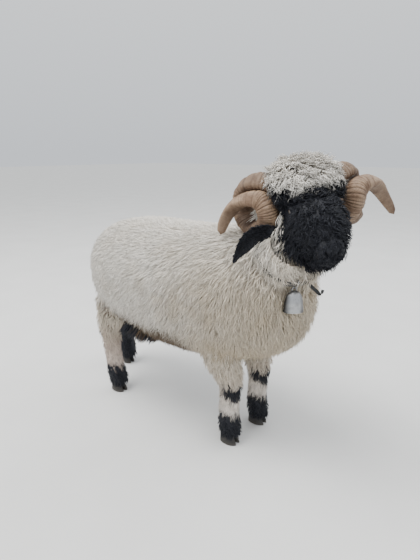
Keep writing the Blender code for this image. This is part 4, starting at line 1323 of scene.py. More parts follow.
class Guard:
    """Keeps tufts out of the horns, eyes, bell and nostrils."""

    def __init__(self, horn_lines: list[tuple[np.ndarray, np.ndarray]], bell: Matrix) -> None:
        """Takes what the tufts stay clear of.

        Args:
            horn_lines: For each horn, its middle line and its radius along it.
            bell: The bell's own frame in the solids' frame.
        """
        self.horns = horn_lines
        self.bell = bell

    def clear(self, points: np.ndarray) -> np.ndarray:
        """Which tufts stay clear.

        Args:
            points: Places along each tuft, by tuft and ring.

        Returns:
            True for each tuft with no place inside a guarded thing.
        """
        flat = points.reshape(-1, 3)
        inside = np.zeros(len(flat), bool)
        skull = local(flat, SKULL.frame())
        near = np.nonzero(np.linalg.norm(skull - np.array((0.0, 0.0, -0.03)), axis=1) < 0.34)[0]
        for line, radius in self.horns:
            gaps = np.linalg.norm(flat[near][:, None] - line[None], axis=2)
            nearest = gaps.argmin(1)
            inside[near] |= gaps[np.arange(len(near)), nearest] < radius[nearest] * 1.08 + 0.001
        eye = SKULL.from_eye(skull)
        opening = np.hypot(eye[:, 0] / SKULL.lid_reach, eye[:, 2] / 0.0070)
        inside |= (opening < 1.0) & (eye[:, 1] > 0) & (eye[:, 1] < 0.020)
        bell = carried(flat, self.bell.inverted())
        beside = np.hypot(bell[:, 0] / 0.0325, bell[:, 1] / 0.0240) < 1
        inside |= beside & (np.abs(bell[:, 2] - 0.030) < 0.045)
        nostril = np.hypot((np.abs(skull[:, 1]) - SKULL.nostril_out) / 0.0035,
                           (skull[:, 2] + SKULL.nostril_drop) / 0.008)
        inside |= (skull[:, 0] > 0.225) & (nostril < 1.0)
        return ~inside.reshape(points.shape[:-1]).any(1)


class Coat:
    """All the wool: tufts rooted on the skin, joined into pieces of under 200,000 triangles."""

    cells_along: int = 60
    cells_round: int = 72

    def __init__(self, skin: Skin, guard: Guard, finish: Material, seed: int = 11) -> None:
        """Keeps what the tufts grow from and stay clear of.

        Args:
            skin: The skin that carries the roots.
            guard: What the tufts stay clear of.
            finish: The wool's material.
            seed: The start of the random draws.
        """
        self.skin = skin
        self.guard = guard
        self.finish = finish
        self.chance = np.random.default_rng(seed)
        self.made: dict[str, list[tuple]] = {}

    def roots(self, patch: Patch) -> tuple[np.ndarray, ...]:
        """Even random roots on a patch, carried onto the skin.

        Args:
            patch: The stretch of coat.

        Returns:
            Places, normals, and the share and turn of each on its form.
        """
        shares = np.linspace(*patch.shares, self.cells_along + 1)
        turns = np.linspace(*patch.turns, self.cells_round + 1)
        grid_share, grid_turn = np.meshgrid(shares, turns, indexing="ij")
        grid = patch.form.at(grid_share, grid_turn)
        corner = grid[:-1, :-1]
        area = np.linalg.norm(np.cross(grid[1:, :-1] - corner, grid[:-1, 1:] - corner), axis=2)
        total = np.cumsum(area.ravel())
        draw = (np.arange(patch.count) + self.chance.uniform(0, 1, patch.count)) / patch.count * total[-1]
        cell = np.searchsorted(total, draw)
        row = np.minimum(cell // self.cells_round, self.cells_along - 1)
        column = cell % self.cells_round
        share = shares[row] + self.chance.uniform(0, 1, patch.count) * (shares[1] - shares[0])
        turn = turns[column] + self.chance.uniform(0, 1, patch.count) * (turns[1] - turns[0])
        at = patch.form.at(share, turn)
        kept, places, normals = [], [], []
        for i, point in enumerate(at):
            hit, normal, _, distance = self.skin.tree.find_nearest(Vector(point))
            if distance < patch.reach:
                kept.append(i)
                places.append(hit)
                normals.append(normal)
        places, normals = np.array(places), np.array(normals)
        if not patch.snapped:
            normals = unit(at[kept] - patch.form.at(share, turn + math.pi)[kept])
            places = at[kept]
        return places, normals, share[kept], turn[kept]

    def lie(self, points: np.ndarray, normals: np.ndarray, part: str) -> np.ndarray:
        """The way the coat lies, along the skin.

        Args:
            points: Places on the skin.
            normals: The skin's normals there.
            part: The form's name.

        Returns:
            A way for each place.
        """
        own = points - np.array(STANCE)
        turn = np.array(SKULL.frame())[:3, :3]
        ahead, left, up = turn[:, 0], turn[:, 1], turn[:, 2]
        if part in FACE_PARTS:
            skull = local(points, SKULL.frame())
            way = -0.75 * up + 0.35 * ahead + np.outer(np.sign(skull[:, 1]), left) * 0.25
            way = way + wandering(own, 0.035) * 0.75
        elif part == "topknot":
            skull = local(points, SKULL.frame())
            out = unit(skull - np.array((-0.070, -0.005, 0.010)))
            way = out @ turn.T + 0.45 * ahead - 0.60 * up
            way = way - np.outer(ramp(0.03, 0.09, skull[:, 1]), left) * 0.9
            way = way + wandering(own, 0.045) * 0.55
        elif part.startswith("leg") or part == "tail":
            way = np.tile((-0.10, 0.0, -1.0), (len(points), 1))
            way = way + wandering(own, 0.05) * 0.25
        elif part == "beard":
            way = np.outer(-np.ones(len(points)), (0.10, -0.10, 1.0))
            way = way + wandering(own, 0.04) * 0.6
        elif part == "ruff":
            way = np.tile((-0.25, 0.0, -1.0), (len(points), 1))
            way = way + wandering(own, 0.04) * 0.7
        else:
            x = own[:, 0]
            lean = (-0.20 - 0.50 * ramp(-0.33, -0.16, x) + 0.35 * ramp(0.05, 0.22, x)
                    + 0.35 * ramp(0.28, 0.44, x))
            crest = np.maximum(normals[:, 2], 0)
            parting = np.clip(own[:, 1] / 0.09, -1, 1) * 0.55 * crest
            way = np.stack([lean - 0.6 * crest, parting, -np.ones(len(x))], axis=1)
            way = way + wandering(own, 0.09) * 0.22
            way = way + wandering(own, 0.03) * 0.14
        way = way - normals * (way * normals).sum(1, keepdims=True)
        return unit(way)

    def size(self, points: np.ndarray, part: str) -> np.ndarray:
        """How large the tufts are at each place against their kind.

        Args:
            points: Places of roots.
            part: The form's name.

        Returns:
            One scale for each place.
        """
        skull = local(points, SKULL.frame())
        own = points - np.array(STANCE)
        if part in FACE_PARTS:
            eye = np.hypot(skull[:, 0] - SKULL.eye[0], skull[:, 2] - SKULL.eye[2])
            cheek = ramp(0.070, 0.030, skull[:, 0]) * ramp(0.030, 0.055, np.abs(skull[:, 1]))
            made = 1 - 0.45 * ramp(0.045, 0.020, eye) - 0.42 * ramp(0.190, 0.240, skull[:, 0])
            beard = ramp(-0.070, -0.115, skull[:, 2]) * ramp(0.02, 0.05, skull[:, 0])
            beard = beard * ramp(0.19, 0.15, skull[:, 0])
            return np.maximum(made, 0.45) + 0.35 * cheek * ramp(-0.02, -0.06, skull[:, 2]) + 0.9 * beard
        if part.startswith("leg"):
            return 0.80 + 0.85 * ramp(0.16, 0.34, own[:, 2]) + 0.25 * ramp(0.11, 0.05, own[:, 2])
        if part == "torso":
            back = ramp(0.66, 0.76, own[:, 2])
            low = ramp(0.42, 0.31, own[:, 2])
            return 1.0 - 0.22 * back + 0.10 * ramp(0.28, 0.44, own[:, 0]) - 0.50 * low
        return np.ones(len(points))

    def sow(self, patch: Patch) -> None:
        """Grows one patch and keeps its tufts under the name of its piece.

        Args:
            patch: The stretch of coat.
        """
        roots, normals, share, turn = self.roots(patch)
        part = patch.form.name
        ways = self.lie(roots, normals, part)
        scale = self.size(roots, part)
        rings, tips = patch.tuft.grow(roots, normals, ways, scale, self.chance)
        keep = self.guard.clear(np.concatenate([rings.mean(2), tips[:, None]], axis=1))
        keep &= (tips[:, 2] > 0.004) & (rings[..., 2].min((1, 2)) > 0.004)
        marks = MARKINGS.read(roots, part)
        tone = marks["tone"] * self.chance.normal(1.0, 0.055, len(roots))
        marks["tone"] = np.clip(tone, 0.6, 1.35)
        u = (share - patch.shares[0]) / (patch.shares[1] - patch.shares[0])
        v = (turn - patch.turns[0]) / (patch.turns[1] - patch.turns[0])
        marks = {key: value[keep] for key, value in marks.items()}
        self.made.setdefault(patch.piece, []).append((rings[keep], tips[keep], marks, u[keep], v[keep]))

    def ears(self, ear: Ear, tuft: Tuft, count: int) -> None:
        """Grows the short wool of one ear, on both its faces, towards its tip.

        Args:
            ear: The ear.
            tuft: Its kind of tuft.
            count: How many.
        """
        rings = np.array(ear.rings())
        share = self.chance.uniform(0.02, 0.985, count)
        at = self.chance.uniform(0, rings.shape[1], count)
        row = share * (len(rings) - 1)
        i, j = row.astype(int), at.astype(int) % rings.shape[1]
        f, g = (row - i)[:, None], (at - at.astype(int))[:, None]
        after = (j + 1) % rings.shape[1]
        low = rings[i, j] * (1 - g) + rings[i, after] * g
        above = np.minimum(i + 1, len(rings) - 1)
        high = rings[above, j] * (1 - g) + rings[above, after] * g
        roots = low * (1 - f) + high * f
        along = unit(high - low)
        normals = unit(np.cross(rings[i, after] - rings[i, j], along))
        middle = rings[i].mean(1)
        normals *= np.where(((roots - middle) * normals).sum(1, keepdims=True) < 0, -1, 1)
        points, tips = tuft.grow(roots, normals, along, np.ones(count), self.chance)
        keep = self.guard.clear(np.concatenate([points.mean(2), tips[:, None]], axis=1))
        marks = MARKINGS.read(roots, "ear")
        marks["tone"] = np.clip(self.chance.normal(1.0, 0.15, count), 0.6, 1.4)
        marks = {key: value[keep] for key, value in marks.items()}
        self.made.setdefault("coat_ears", []).append(
            (points[keep], tips[keep], marks, (share[keep] + (ear.side is Side.LEFT)) / 2,
             (at / rings.shape[1])[keep]))

    def finish_pieces(self) -> list[Object]:
        """Joins what was grown into one mesh for each piece."""
        return [self.join(name, batches) for name, batches in self.made.items()]

    def join(self, name: str, batches: list[tuple]) -> Object:
        """One piece of the coat from its batches of tufts.

        Args:
            name: The piece's name.
            batches: Rings, tips, marks and places on the unwrap.

        Returns:
            The piece, with its OFBake map.
        """
        verts, loops, starts, totals, uvs = [], [], [], [], []
        marks: dict[str, list[np.ndarray]] = {key: [] for key in (*batches[0][2], "along")}
        base = loop_base = 0
        for rings, tips, values, u, v in batches:
            count, steps = rings.shape[:2]
            size = steps * 3 + 1
            verts.append(np.concatenate([rings.reshape(count, -1, 3), tips[:, None]], axis=1).reshape(-1, 3))
            quads = [(3 * j + k, 3 * j + (k + 1) % 3, 3 * j + 3 + (k + 1) % 3, 3 * j + 3 + k)
                     for j in range(steps - 1) for k in range(3)]
            top = 3 * steps - 3
            ends = [(top + k, top + (k + 1) % 3, 3 * steps) for k in range(3)] + [(2, 1, 0)]
            pattern = np.array([i for face in quads + ends for i in face])
            sizes = np.array([len(face) for face in quads + ends])
            loops.append((base + size * np.arange(count)[:, None] + pattern[None]).ravel())
            first = np.concatenate([[0], np.cumsum(sizes)[:-1]])
            starts.append((loop_base + len(pattern) * np.arange(count)[:, None] + first[None]).ravel())
            totals.append(np.tile(sizes, count))
            own_u = np.append(np.repeat(np.arange(steps) / steps, 3), 1.0)
            own_v = np.append(np.tile((0.0, 0.5, 1.0), steps), 0.5)
            spot_u = 0.01 + 0.97 * u[:, None] + TUFT_PATCH * own_u[None]
            spot_v = 0.01 + 0.97 * v[:, None] + TUFT_PATCH * own_v[None]
            uvs.append(np.stack([spot_u[:, pattern], spot_v[:, pattern]], axis=2).reshape(-1, 2))
            for key, value in values.items():
                marks[key].append(np.repeat(value, size))
            marks["along"].append(np.tile(own_u, count))
            base += size * count
            loop_base += len(pattern) * count
        verts, loops = np.concatenate(verts), np.concatenate(loops)
        starts, totals = np.concatenate(starts), np.concatenate(totals)
        mesh = bpy.data.meshes.new(name)
        mesh.vertices.add(len(verts))
        mesh.vertices.foreach_set("co", verts.astype(np.float32).ravel())
        mesh.loops.add(len(loops))
        mesh.loops.foreach_set("vertex_index", loops.astype(np.int32))
        mesh.polygons.add(len(starts))
        mesh.polygons.foreach_set("loop_start", starts.astype(np.int32))
        mesh.polygons.foreach_set("loop_total", totals.astype(np.int32))
        mesh.update(calc_edges=True)
        mesh.shade_smooth()
        layer = mesh.uv_layers.new(name="OFBake")
        layer.data.foreach_set("uv", np.concatenate(uvs).astype(np.float32).ravel())
        for key, value in marks.items():
            give(mesh, key, np.concatenate(value))
        mesh.materials.append(self.finish)
        made = bpy.data.objects.new(name, mesh)
        bpy.context.scene.collection.objects.link(made)
        LOG.info("%s: %d triangles", name, int((totals - 2).sum()))
        return made


@dataclass(frozen=True)
class Horn:
    """One ribbed horn, a spiral drawn to its flattened tip."""

    side: Side
    lean: tuple[float, float]
    spread: float
    close: float
    close_from: float = 280.0
    close_to: float = 430.0
    centre: tuple[float, float] = (-0.050, -0.020)
    across: float = 1.18
    outward: float = 0.88
    ribs: int = 66
    rib_height: float = 0.0031
    rings: int = 420
    points: int = 28
    course: Rows = (
        (55, 0.040, 0.045, 0.0300), (90, 0.068, 0.098, 0.0310), (130, 0.086, 0.140, 0.0310),
        (175, 0.090, 0.158, 0.0300), (220, 0.074, 0.146, 0.0295), (270, 0.052, 0.127, 0.0285),
        (315, 0.054, 0.112, 0.0285), (355, 0.058, 0.117, 0.0285), (400, 0.052, 0.132, 0.0275),
        (445, 0.050, 0.168, 0.0250), (485, 0.054, 0.206, 0.0215), (525, 0.060, 0.236, 0.0175),
        (555, 0.066, 0.256, 0.0148), (572, 0.070, 0.264, 0.0112))
    tip: tuple[float, float, float] = (580, 0.071, 0.268)

    def place(self, angle: np.ndarray, turn_radius: np.ndarray, out: np.ndarray) -> np.ndarray:
        """Places of the horn's course in the solids' frame.

        Args:
            angle: Degrees turned.
            turn_radius: Distance from the turn's hub.
            out: Distance from the middle of the head.

        Returns:
            The places.
        """
        late = np.clip((angle - self.close_from) / (self.close_to - self.close_from), 0, 1)
        turn_radius = turn_radius * (1 + (self.close - 1) * late)
        out = out * (1 + (self.close - 1) * late * 0.5)
        turn = np.radians(angle)
        ahead = self.centre[0] + turn_radius * np.cos(turn) + self.lean[0] * out
        up = self.centre[1] + turn_radius * np.sin(turn) + self.lean[1] * out
        own = np.stack([ahead, out * self.side.value * self.spread, up], axis=-1)
        return carried(own, SKULL.frame(0.0)) + np.array(STANCE)

    def line(self) -> tuple[np.ndarray, np.ndarray]:
        """The horn's middle line and its radius along it."""
        rows = through(self.course, 120)
        return self.place(rows[:, 0], rows[:, 1], rows[:, 2]), rows[:, 3]

    def build(self, finish: Material) -> Object:
        """Makes the horn with its ribs, grooves and colours.

        Args:
            finish: The horn's material.

        Returns:
            The horn.
        """
        rows = through(self.course, self.rings)
        line = self.place(rows[:, 0], rows[:, 1], rows[:, 2])
        hub = self.place(rows[:, 0], 0 * rows[:, 1], rows[:, 2])
        ahead = unit(np.gradient(line, axis=0))
        outward = unit(line - hub)
        outward = unit(outward - ahead * (outward * ahead).sum(1, keepdims=True))
        across = np.cross(ahead, outward)
        share = np.linspace(0, 1, self.rings)
        phase = share * self.ribs + 0.8 * np.sin(share * 23.0) + 0.4 * np.sin(share * 71.0)
        saw = (phase % 1.0)
        ridge = np.where(saw < 0.80, 0.6 * np.sin(saw / 0.80 * math.pi) ** 0.5,
                         -0.9 * np.sin((saw - 0.80) / 0.20 * math.pi))
        uneven = 0.65 + 0.45 * np.sin(np.floor(phase) * 2.399) * np.sin(np.floor(phase) * 0.73)
        ridge = ridge * uneven
        fade = 1 - 0.85 * ramp(0.62, 0.92, share)
        turns = angles_round(self.points)
        made, groove, redden = [], [], []
        for i in range(self.rings):
            front = 0.72 + 0.28 * np.cos(turns + 0.9 * math.sin(i * 0.11))
            knob = 1 + 0.25 * np.sin(turns * 5 + i * 0.9)
            strong = 1 + 0.5 * float(ramp(0.55, 0.40, share[i]))
            rib = self.rib_height * strong * fade[i] * ridge[i] * front * knob
            reach = rows[i, 3] * (1 + 0.08 * np.cos(3 * turns)) + rib - self.rib_height * 0.5
            ring = (line[i] + outward[i] * (reach * self.outward * np.cos(turns))[:, None]
                    + across[i] * (reach * self.across * np.sin(turns))[:, None])
            made.append(ring)
            # The groove's brown: dirt lodged between the ribs, and painted shade in the recess.
            groove.append(np.clip(0.10 - 1.6 * ridge[i], 0, 1) * (0.35 + 0.65 * fade[i]) * front)
            back = 0.55 * ramp(0.62, 0.40, share[i]) * (0.6 + 0.4 * math.sin(i * 0.05))
            # Painted shade on the side of the coil that faces its hub.
            inner = 0.55 * ramp(-0.2, -0.9, np.cos(turns))
            redden.append(np.clip(back + inner, 0, 1))
        tip = self.place(np.array(self.tip[0]), np.array(self.tip[1]), np.array(self.tip[2]))
        bm = tube(made, tip=Vector(tip))
        name = "horn_" + self.side.word + "_ribbed"
        obj = piece(name, bm, finish)
        rings = np.concatenate(made)
        order = sources(obj, rings, len(rings) - 1)
        give(obj.data, "groove", np.concatenate(groove)[order])
        give(obj.data, "redden", np.concatenate(redden)[order])
        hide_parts("horn_" + self.side.word)
        return obj


@dataclass(frozen=True)
class Eye:
    """One eyeball with its iris and level pupil."""

    side: Side
    shrink: float = 0.0002

    def build(self, finish: Material) -> Object:
        """Makes the eye and writes where its iris and pupil are.

        Args:
            finish: The eye's material.

        Returns:
            The eye.
        """
        bm = bmesh.new()
        radius = SKULL.eye_radius - self.shrink
        bmesh.ops.create_uvsphere(bm, u_segments=64, v_segments=40, radius=radius)
        turn = SKULL.frame().to_3x3().to_4x4() @ Matrix.Rotation(-math.pi / 2 * self.side.value, 4, "X")
        bmesh.ops.transform(bm, matrix=turn, verts=bm.verts)
        bmesh.ops.translate(bm, vec=SKULL.eye_place(self.side) + STANCE, verts=bm.verts)
        obj = piece("eyeball_" + self.side.word, bm, finish)
        own = local(mesh_points(obj), SKULL.frame()) - np.array((SKULL.eye[0], SKULL.eye[1] * self.side.value,
                                                                 SKULL.eye[2]))
        wide = np.hypot(own[:, 0], own[:, 2])
        outer = own[:, 1] * self.side.value > 0
        give(obj.data, "iris", ramp(0.0088, 0.0074, wide) * outer)
        pupil = np.maximum(np.abs(own[:, 0]) / 0.0046, np.abs(own[:, 2]) / 0.0019)
        give(obj.data, "pupil", ramp(1.25, 0.85, pupil) * outer)
        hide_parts("eye_" + self.side.word)
        return obj


@dataclass(frozen=True)
class Claw:
    """One claw of a foot, flat below, rounded at the toe and lined round its wall."""

    leg: Leg
    inner: bool
    length: float = 0.062
    width: float = 0.027
    cleft: float = 0.0025
    splay: float = math.radians(5)
    height: float = 0.0318
    outline: Rows = (
        (-0.42, 0.10), (-0.46, 0.50), (-0.40, 0.88), (-0.05, 1.0), (0.28, 0.86), (0.50, 0.46),
        (0.54, 0.16), (0.30, 0.02), (-0.10, 0.02), (-0.42, 0.10))

    def build(self, finish: Material) -> Object:
        """Makes the claw.

        Args:
            finish: The claw's material.

        Returns:
            The claw.
        """
        side = self.leg.outward * (-1 if self.inner else 1)
        foot = np.array((*self.leg.foot, 0.0)) + np.array(STANCE)
        loop = through(self.outline, 37)[:-1]
        rows = []
        for t in np.linspace(0, 1, 22):
            shrink = 1 - 0.20 * t**1.5
            lines = 0.012 * math.sin(t * 26) * (1 - t)
            x = loop[:, 0] * self.length * (shrink + lines) - 0.007 * t
            y = self.cleft / 2 + loop[:, 1] * self.width * np.where(loop[:, 1] > 0.3, shrink + lines, 1.0)
            rows.append(np.stack([x, y * side, np.full(len(x), t * self.height)], axis=1))
        turn = np.array(Matrix.Rotation(self.splay * side, 3, "Z"))
        rows = [row @ turn.T + foot for row in rows]
        word = "inner" if self.inner else "outer"
        obj = piece(f"{word}_claw_{self.leg.name}", tube(rows), finish)
        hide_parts(f"claw_{word}_{self.leg.name}")
        return obj


@dataclass(frozen=True)
class Collar:
    """The strap round the neck with its stitched edges, and its loose end."""

    way: tuple = (0.53, -0.47, 0.70)
    middle: tuple = (0.518, -0.063, 0.717)
    radii: tuple = (0.094, 0.097)
    nape: float = 0.070
    width: float = 0.024
    thickness: float = 0.0035
    gap: float = 0.0003
    ruff_span: tuple = (0.004, 0.056)
    ruff_depth: float = 0.010
    end_turn: float = math.radians(25)
    end_width: float = 0.011
    end_thickness: float = 0.0022
    end_way: Rows = (
        (0.0000, 0.008, 0.000), (0.0000, -0.006, 0.000), (0.0040, -0.014, 0.002), (0.0150, -0.021, 0.008),
        (0.0280, -0.028, 0.015), (0.0370, -0.033, 0.021), (0.0390, -0.031, 0.027), (0.0340, -0.025, 0.033))

    def frame(self) -> Matrix:
        """The collar's own frame in the solids' frame: X across, Y fore and aft, Z to the head.

        Returns:
            The 4 by 4 matrix.
        """
        way = Vector(self.way).normalized()
        across = UP.cross(way).normalized()
        made = Matrix((across, way.cross(across), way)).transposed().to_4x4()
        made.translation = Vector(self.middle) + STANCE
        return made

    def ring(self) -> Form:
        """A band of the wool just above the strap, whose tufts fall over it.

        Returns:
            The form.
        """
        turn = np.array(self.frame())
        heights = np.linspace(*self.ruff_span, 6)
        middles = turn[:3, 3] + heights[:, None] * turn[:3, 2]
        halves = np.tile((self.radii[0], self.nape, self.radii[1]), (6, 1))
        halves = halves - self.ruff_depth - 0.20 * heights[:, None]
        return upright("ruff", middles, turn[:3, 0], turn[:3, 1], halves)

    def section(self, half: float, deep: float) -> np.ndarray:
        """A flat rounded section with a stitched groove near each edge.

        Args:
            half: Half the strap's width.
            deep: Its thickness.

        Returns:
            Points as distance out and place across.
        """
        outer = [(0.72, -1.0), (0.97, -0.93), (1.0, -0.84), (0.86, -0.78), (1.0, -0.72), (1.04, 0.0),
                 (1.0, 0.72), (0.86, 0.78), (1.0, 0.84), (0.97, 0.93), (0.72, 1.0)]
        inner = [(0.28, 1.0), (0.02, 0.93), (0.0, 0.0), (0.02, -0.93), (0.28, -1.0)]
        return np.array([(a * deep, b * half) for a, b in outer + inner])

    def strap(self, finish: Material) -> Object:
        """Makes the strap round the neck.

        Args:
            finish: Its material.

        Returns:
            The strap.
        """
        section = self.section(self.width / 2, self.thickness)
        rows, around, across = [], [], []
        for angle in angles_round(160):
            c, s = math.cos(angle), math.sin(angle)
            deep = self.radii[1] if s < 0 else self.nape
            ripple_out = 0.0004 * math.sin(angle * 9)
            x = c * (self.radii[0] + section[:, 0] + ripple_out)
            y = s * (deep + section[:, 0] + ripple_out)
            rows.append(carried(np.stack([x, y, section[:, 1]], axis=1), self.frame()))
            around.append(np.full(len(section), angle * self.radii[0]))
            across.append(section[:, 1])
        obj = piece("strap", tube(rows, closed=True), finish)
        self.weave(obj, rows, around, across)
        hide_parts("collar")
        return obj

    def weave(self, obj: Object, rows: list, around: list, across: list) -> None:
        """Writes the strap's own coordinates for its weave.

        Args:
            obj: The piece.
            rows: Its rings.
            around: Each ring's place along the strap.
            across: Each ring's places across it.
        """
        order = sources(obj, np.concatenate(rows), 0)
        give(obj.data, "around", np.concatenate(around)[order])
        give(obj.data, "across", np.concatenate(across)[order])

    def loose_end(self, finish: Material) -> Object:
        """Makes the strap's free end, hanging and hooked at its tip.

        Args:
            finish: Its material.

        Returns:
            The loose end.
        """
        turn = self.end_turn
        foot = Vector((self.radii[0] * math.sin(turn), -self.radii[1] * math.cos(turn), 0))
        out = Vector((math.sin(turn) / self.radii[0], -math.cos(turn) / self.radii[1], 0)).normalized()
        beside = Vector((-out.y, out.x, 0))
        start = foot + out * (self.thickness + 2 * self.gap + self.end_thickness / 2)
        way = through(self.end_way, 60)
        line = np.array([start + out * a + UP * b + beside * c for a, b, c in way])
        ahead = unit(np.gradient(line, axis=0))
        side = np.tile(np.array(beside), (len(line), 1))
        side = unit(side - ahead * (side * ahead).sum(1, keepdims=True))
        face = np.cross(ahead, side)
        section = self.section(self.end_width / 2, self.end_thickness)
        section[:, 0] -= self.end_thickness / 2
        rows = [carried(at + flat * section[:, :1] + edge * section[:, 1:], self.frame())
                for at, flat, edge in zip(line, face, side)]
        obj = piece("strap_end", tube(rows), finish)
        gone = np.concatenate([[0], np.cumsum(np.linalg.norm(np.diff(line, axis=0), axis=1))])
        self.weave(obj, rows, [np.full(len(section), g) for g in gone], [section[:, 1]] * len(line))
        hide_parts("collar_loose_end")
        return obj


@dataclass(frozen=True)
class Bell:
    """The sheet-steel bell: folded shell, rolled rim, wire staple, link and clapper."""

    collar: Collar
    height: float = 0.062
    wall: float = 0.0016
    turn: float = math.radians(-45)
    link_long: float = 0.0210
    link_deep: float = 0.0080
    wire: float = 0.0016
    staple_radius: float = 0.0066
    staple_leg: float = 0.003
    staple_hang: float = 0.0030
    gap: float = 0.0003
    link_gap: float = 0.0008
    seam: float = 0.0006
    clapper_gap: float = 0.0005
    profile: Rows = ((0.0, 0.0300, 0.0215), (0.30, 0.0284, 0.0204), (0.58, 0.0258, 0.0186),
                     (0.80, 0.0212, 0.0154), (0.94, 0.0142, 0.0110), (1.0, 0.0092, 0.0076))

    def link_point(self, angle: float) -> Vector:
        """A point of the link's wire middle.

        Args:
            angle: Radians round the link.

        Returns:
            The point.
        """
        reach = self.collar.radii[1] + self.collar.thickness / 2 + self.link_gap
        own = Vector((0, -reach - self.link_deep * math.sin(angle), self.link_long * math.cos(angle)))
        return self.collar.frame() @ own

    def frame(self) -> Matrix:
        """The bell's own frame: mouth at the bottom, broad face forward.

        Returns:
            The 4 by 4 matrix.
        """
        low = min((self.link_point(math.radians(a)) for a in range(360)), key=lambda point: point.z)
        made = Matrix.Rotation(self.turn + math.pi / 2, 4, "Z")
        made.translation = low - UP * (self.staple_hang + self.staple_leg + self.gap + self.height)
        return made

    def place(self, rows: list[np.ndarray]) -> list[np.ndarray]:
        """Rings of the bell's frame carried into the solids' frame."""
        return [carried(row, self.frame()) for row in rows]

    def oval(self, z: float, wide: float, deep: float, count: int = 72) -> np.ndarray:
        """A ring of the bell, a little squared, with the fold of its side seams.

        Args:
            z: Its height.
            wide: Half its width.
            deep: Half its depth.
            count: How many points.

        Returns:
            The ring.
        """
        turns = angles_round(count)
        c, s = np.cos(turns), np.sin(turns)
        seam = self.seam * (np.abs(c) > 0.988)
        x = np.sign(c) * np.abs(c) ** 0.92 * (wide + seam)
        y = np.sign(s) * np.abs(s) ** 0.92 * deep
        return np.stack([x, y, np.full(count, z)], axis=1)

    def shell(self, finish: Material) -> Object:
        """Makes the hollow shell with its rolled rim and dented faces.

        Args:
            finish: Its material.

        Returns:
            The shell.
        """
        rows = through(self.profile, 40)
        thin = 0.0006
        outer = []
        for share, wide, deep in rows:
            lip = 0.0006 * math.exp(-((share - 0.02) / 0.02) ** 2)
            dent = 0.0003 * math.sin(share * 17)
            swell = lip + dent * 0.5 - thin
            outer.append(self.oval(share * self.height, wide + swell, deep + swell))
        inner = [self.oval(share * (self.height - self.wall), wide - self.wall, deep - self.wall)
                 for share, wide, deep in rows]
        bm = tube(self.place(inner[::-1] + outer))
        obj = piece("bell_shell", bm, finish)
        obj.data.set_sharp_from_angle(angle=math.radians(50))
        own = carried(mesh_points(obj), self.frame().inverted())
        # Painted shade towards the bell's narrow sides.
        give(obj.data, "edge", ramp(0.010, 0.027, np.abs(own[:, 0])))
        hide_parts("bell")
        return obj

    def wired(self, name: str, line: np.ndarray, closed: bool, node: str, finish: Material) -> Object:
        """A round wire bent along a line.

        Args:
            name: The piece's name.
            line: The wire's middle, in the solids' frame.
            closed: Whether its ends meet.
            node: The solid that it stands for.
            finish: Its material.

        Returns:
            The wire.
        """
        if closed:
            ahead = unit(np.roll(line, -1, axis=0) - np.roll(line, 1, axis=0))
        else:
            ahead = unit(np.gradient(line, axis=0))
        middle = line.mean(0)
        out = unit(line - middle)
        out = unit(out - ahead * (out * ahead).sum(1, keepdims=True))
        side = np.cross(ahead, out)
        turns = angles_round(14)
        rows = [at + o * (np.cos(turns) * self.wire)[:, None] + s * (np.sin(turns) * self.wire)[:, None]
                for at, o, s in zip(line, out, side)]
        obj = piece(name, tube(rows, closed=closed), finish)
        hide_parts(node)
        return obj

    def build(self, finish: Material) -> list[Object]:
        """Makes the bell and all that hangs it.

        Args:
            finish: The steel.

        Returns:
            The pieces.
        """
        angles = angles_round(72)
        link = np.array([self.link_point(a) for a in angles])
        low = self.height + self.gap
        arch = [(self.staple_radius, 0, low), (self.staple_radius, 0, low + self.staple_leg / 2)]
        for i in range(29):
            turn = math.pi * i / 28
            arch.append((self.staple_radius * math.cos(turn), 0,
                         low + self.staple_leg + self.staple_radius * math.sin(turn)))
        arch += [(-self.staple_radius, 0, low + self.staple_leg / 2), (-self.staple_radius, 0, low)]
        staple = self.place([np.array(arch, float)])[0]
        made = [self.shell(finish), self.wired("link", link, True, "bell_link", finish),
                self.wired("staple", staple, False, "bell_staple", finish)]
        top = self.height - self.wall - self.clapper_gap
        ball = [(top, 0.0018), (0.012, 0.0018), (0.0075, 0.0030), (0.005, 0.0052), (0.000, 0.0066),
                (-0.004, 0.0056), (-0.0065, 0.0034), (-0.007, 0.0012)]
        turns = angles_round(24)
        rows = [np.stack([np.cos(turns) * r, np.sin(turns) * r, np.full(24, z)], axis=1)
                for z, r in through(tuple(ball), 40)]
        clapper = piece("clapper", tube(self.place(rows)), finish)
        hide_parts("bell_clapper")
        # The clapper is painted dark all over, as shade inside the bell's mouth.
        give(clapper.data, "edge", np.ones(len(clapper.data.vertices)))
        return made + [clapper]


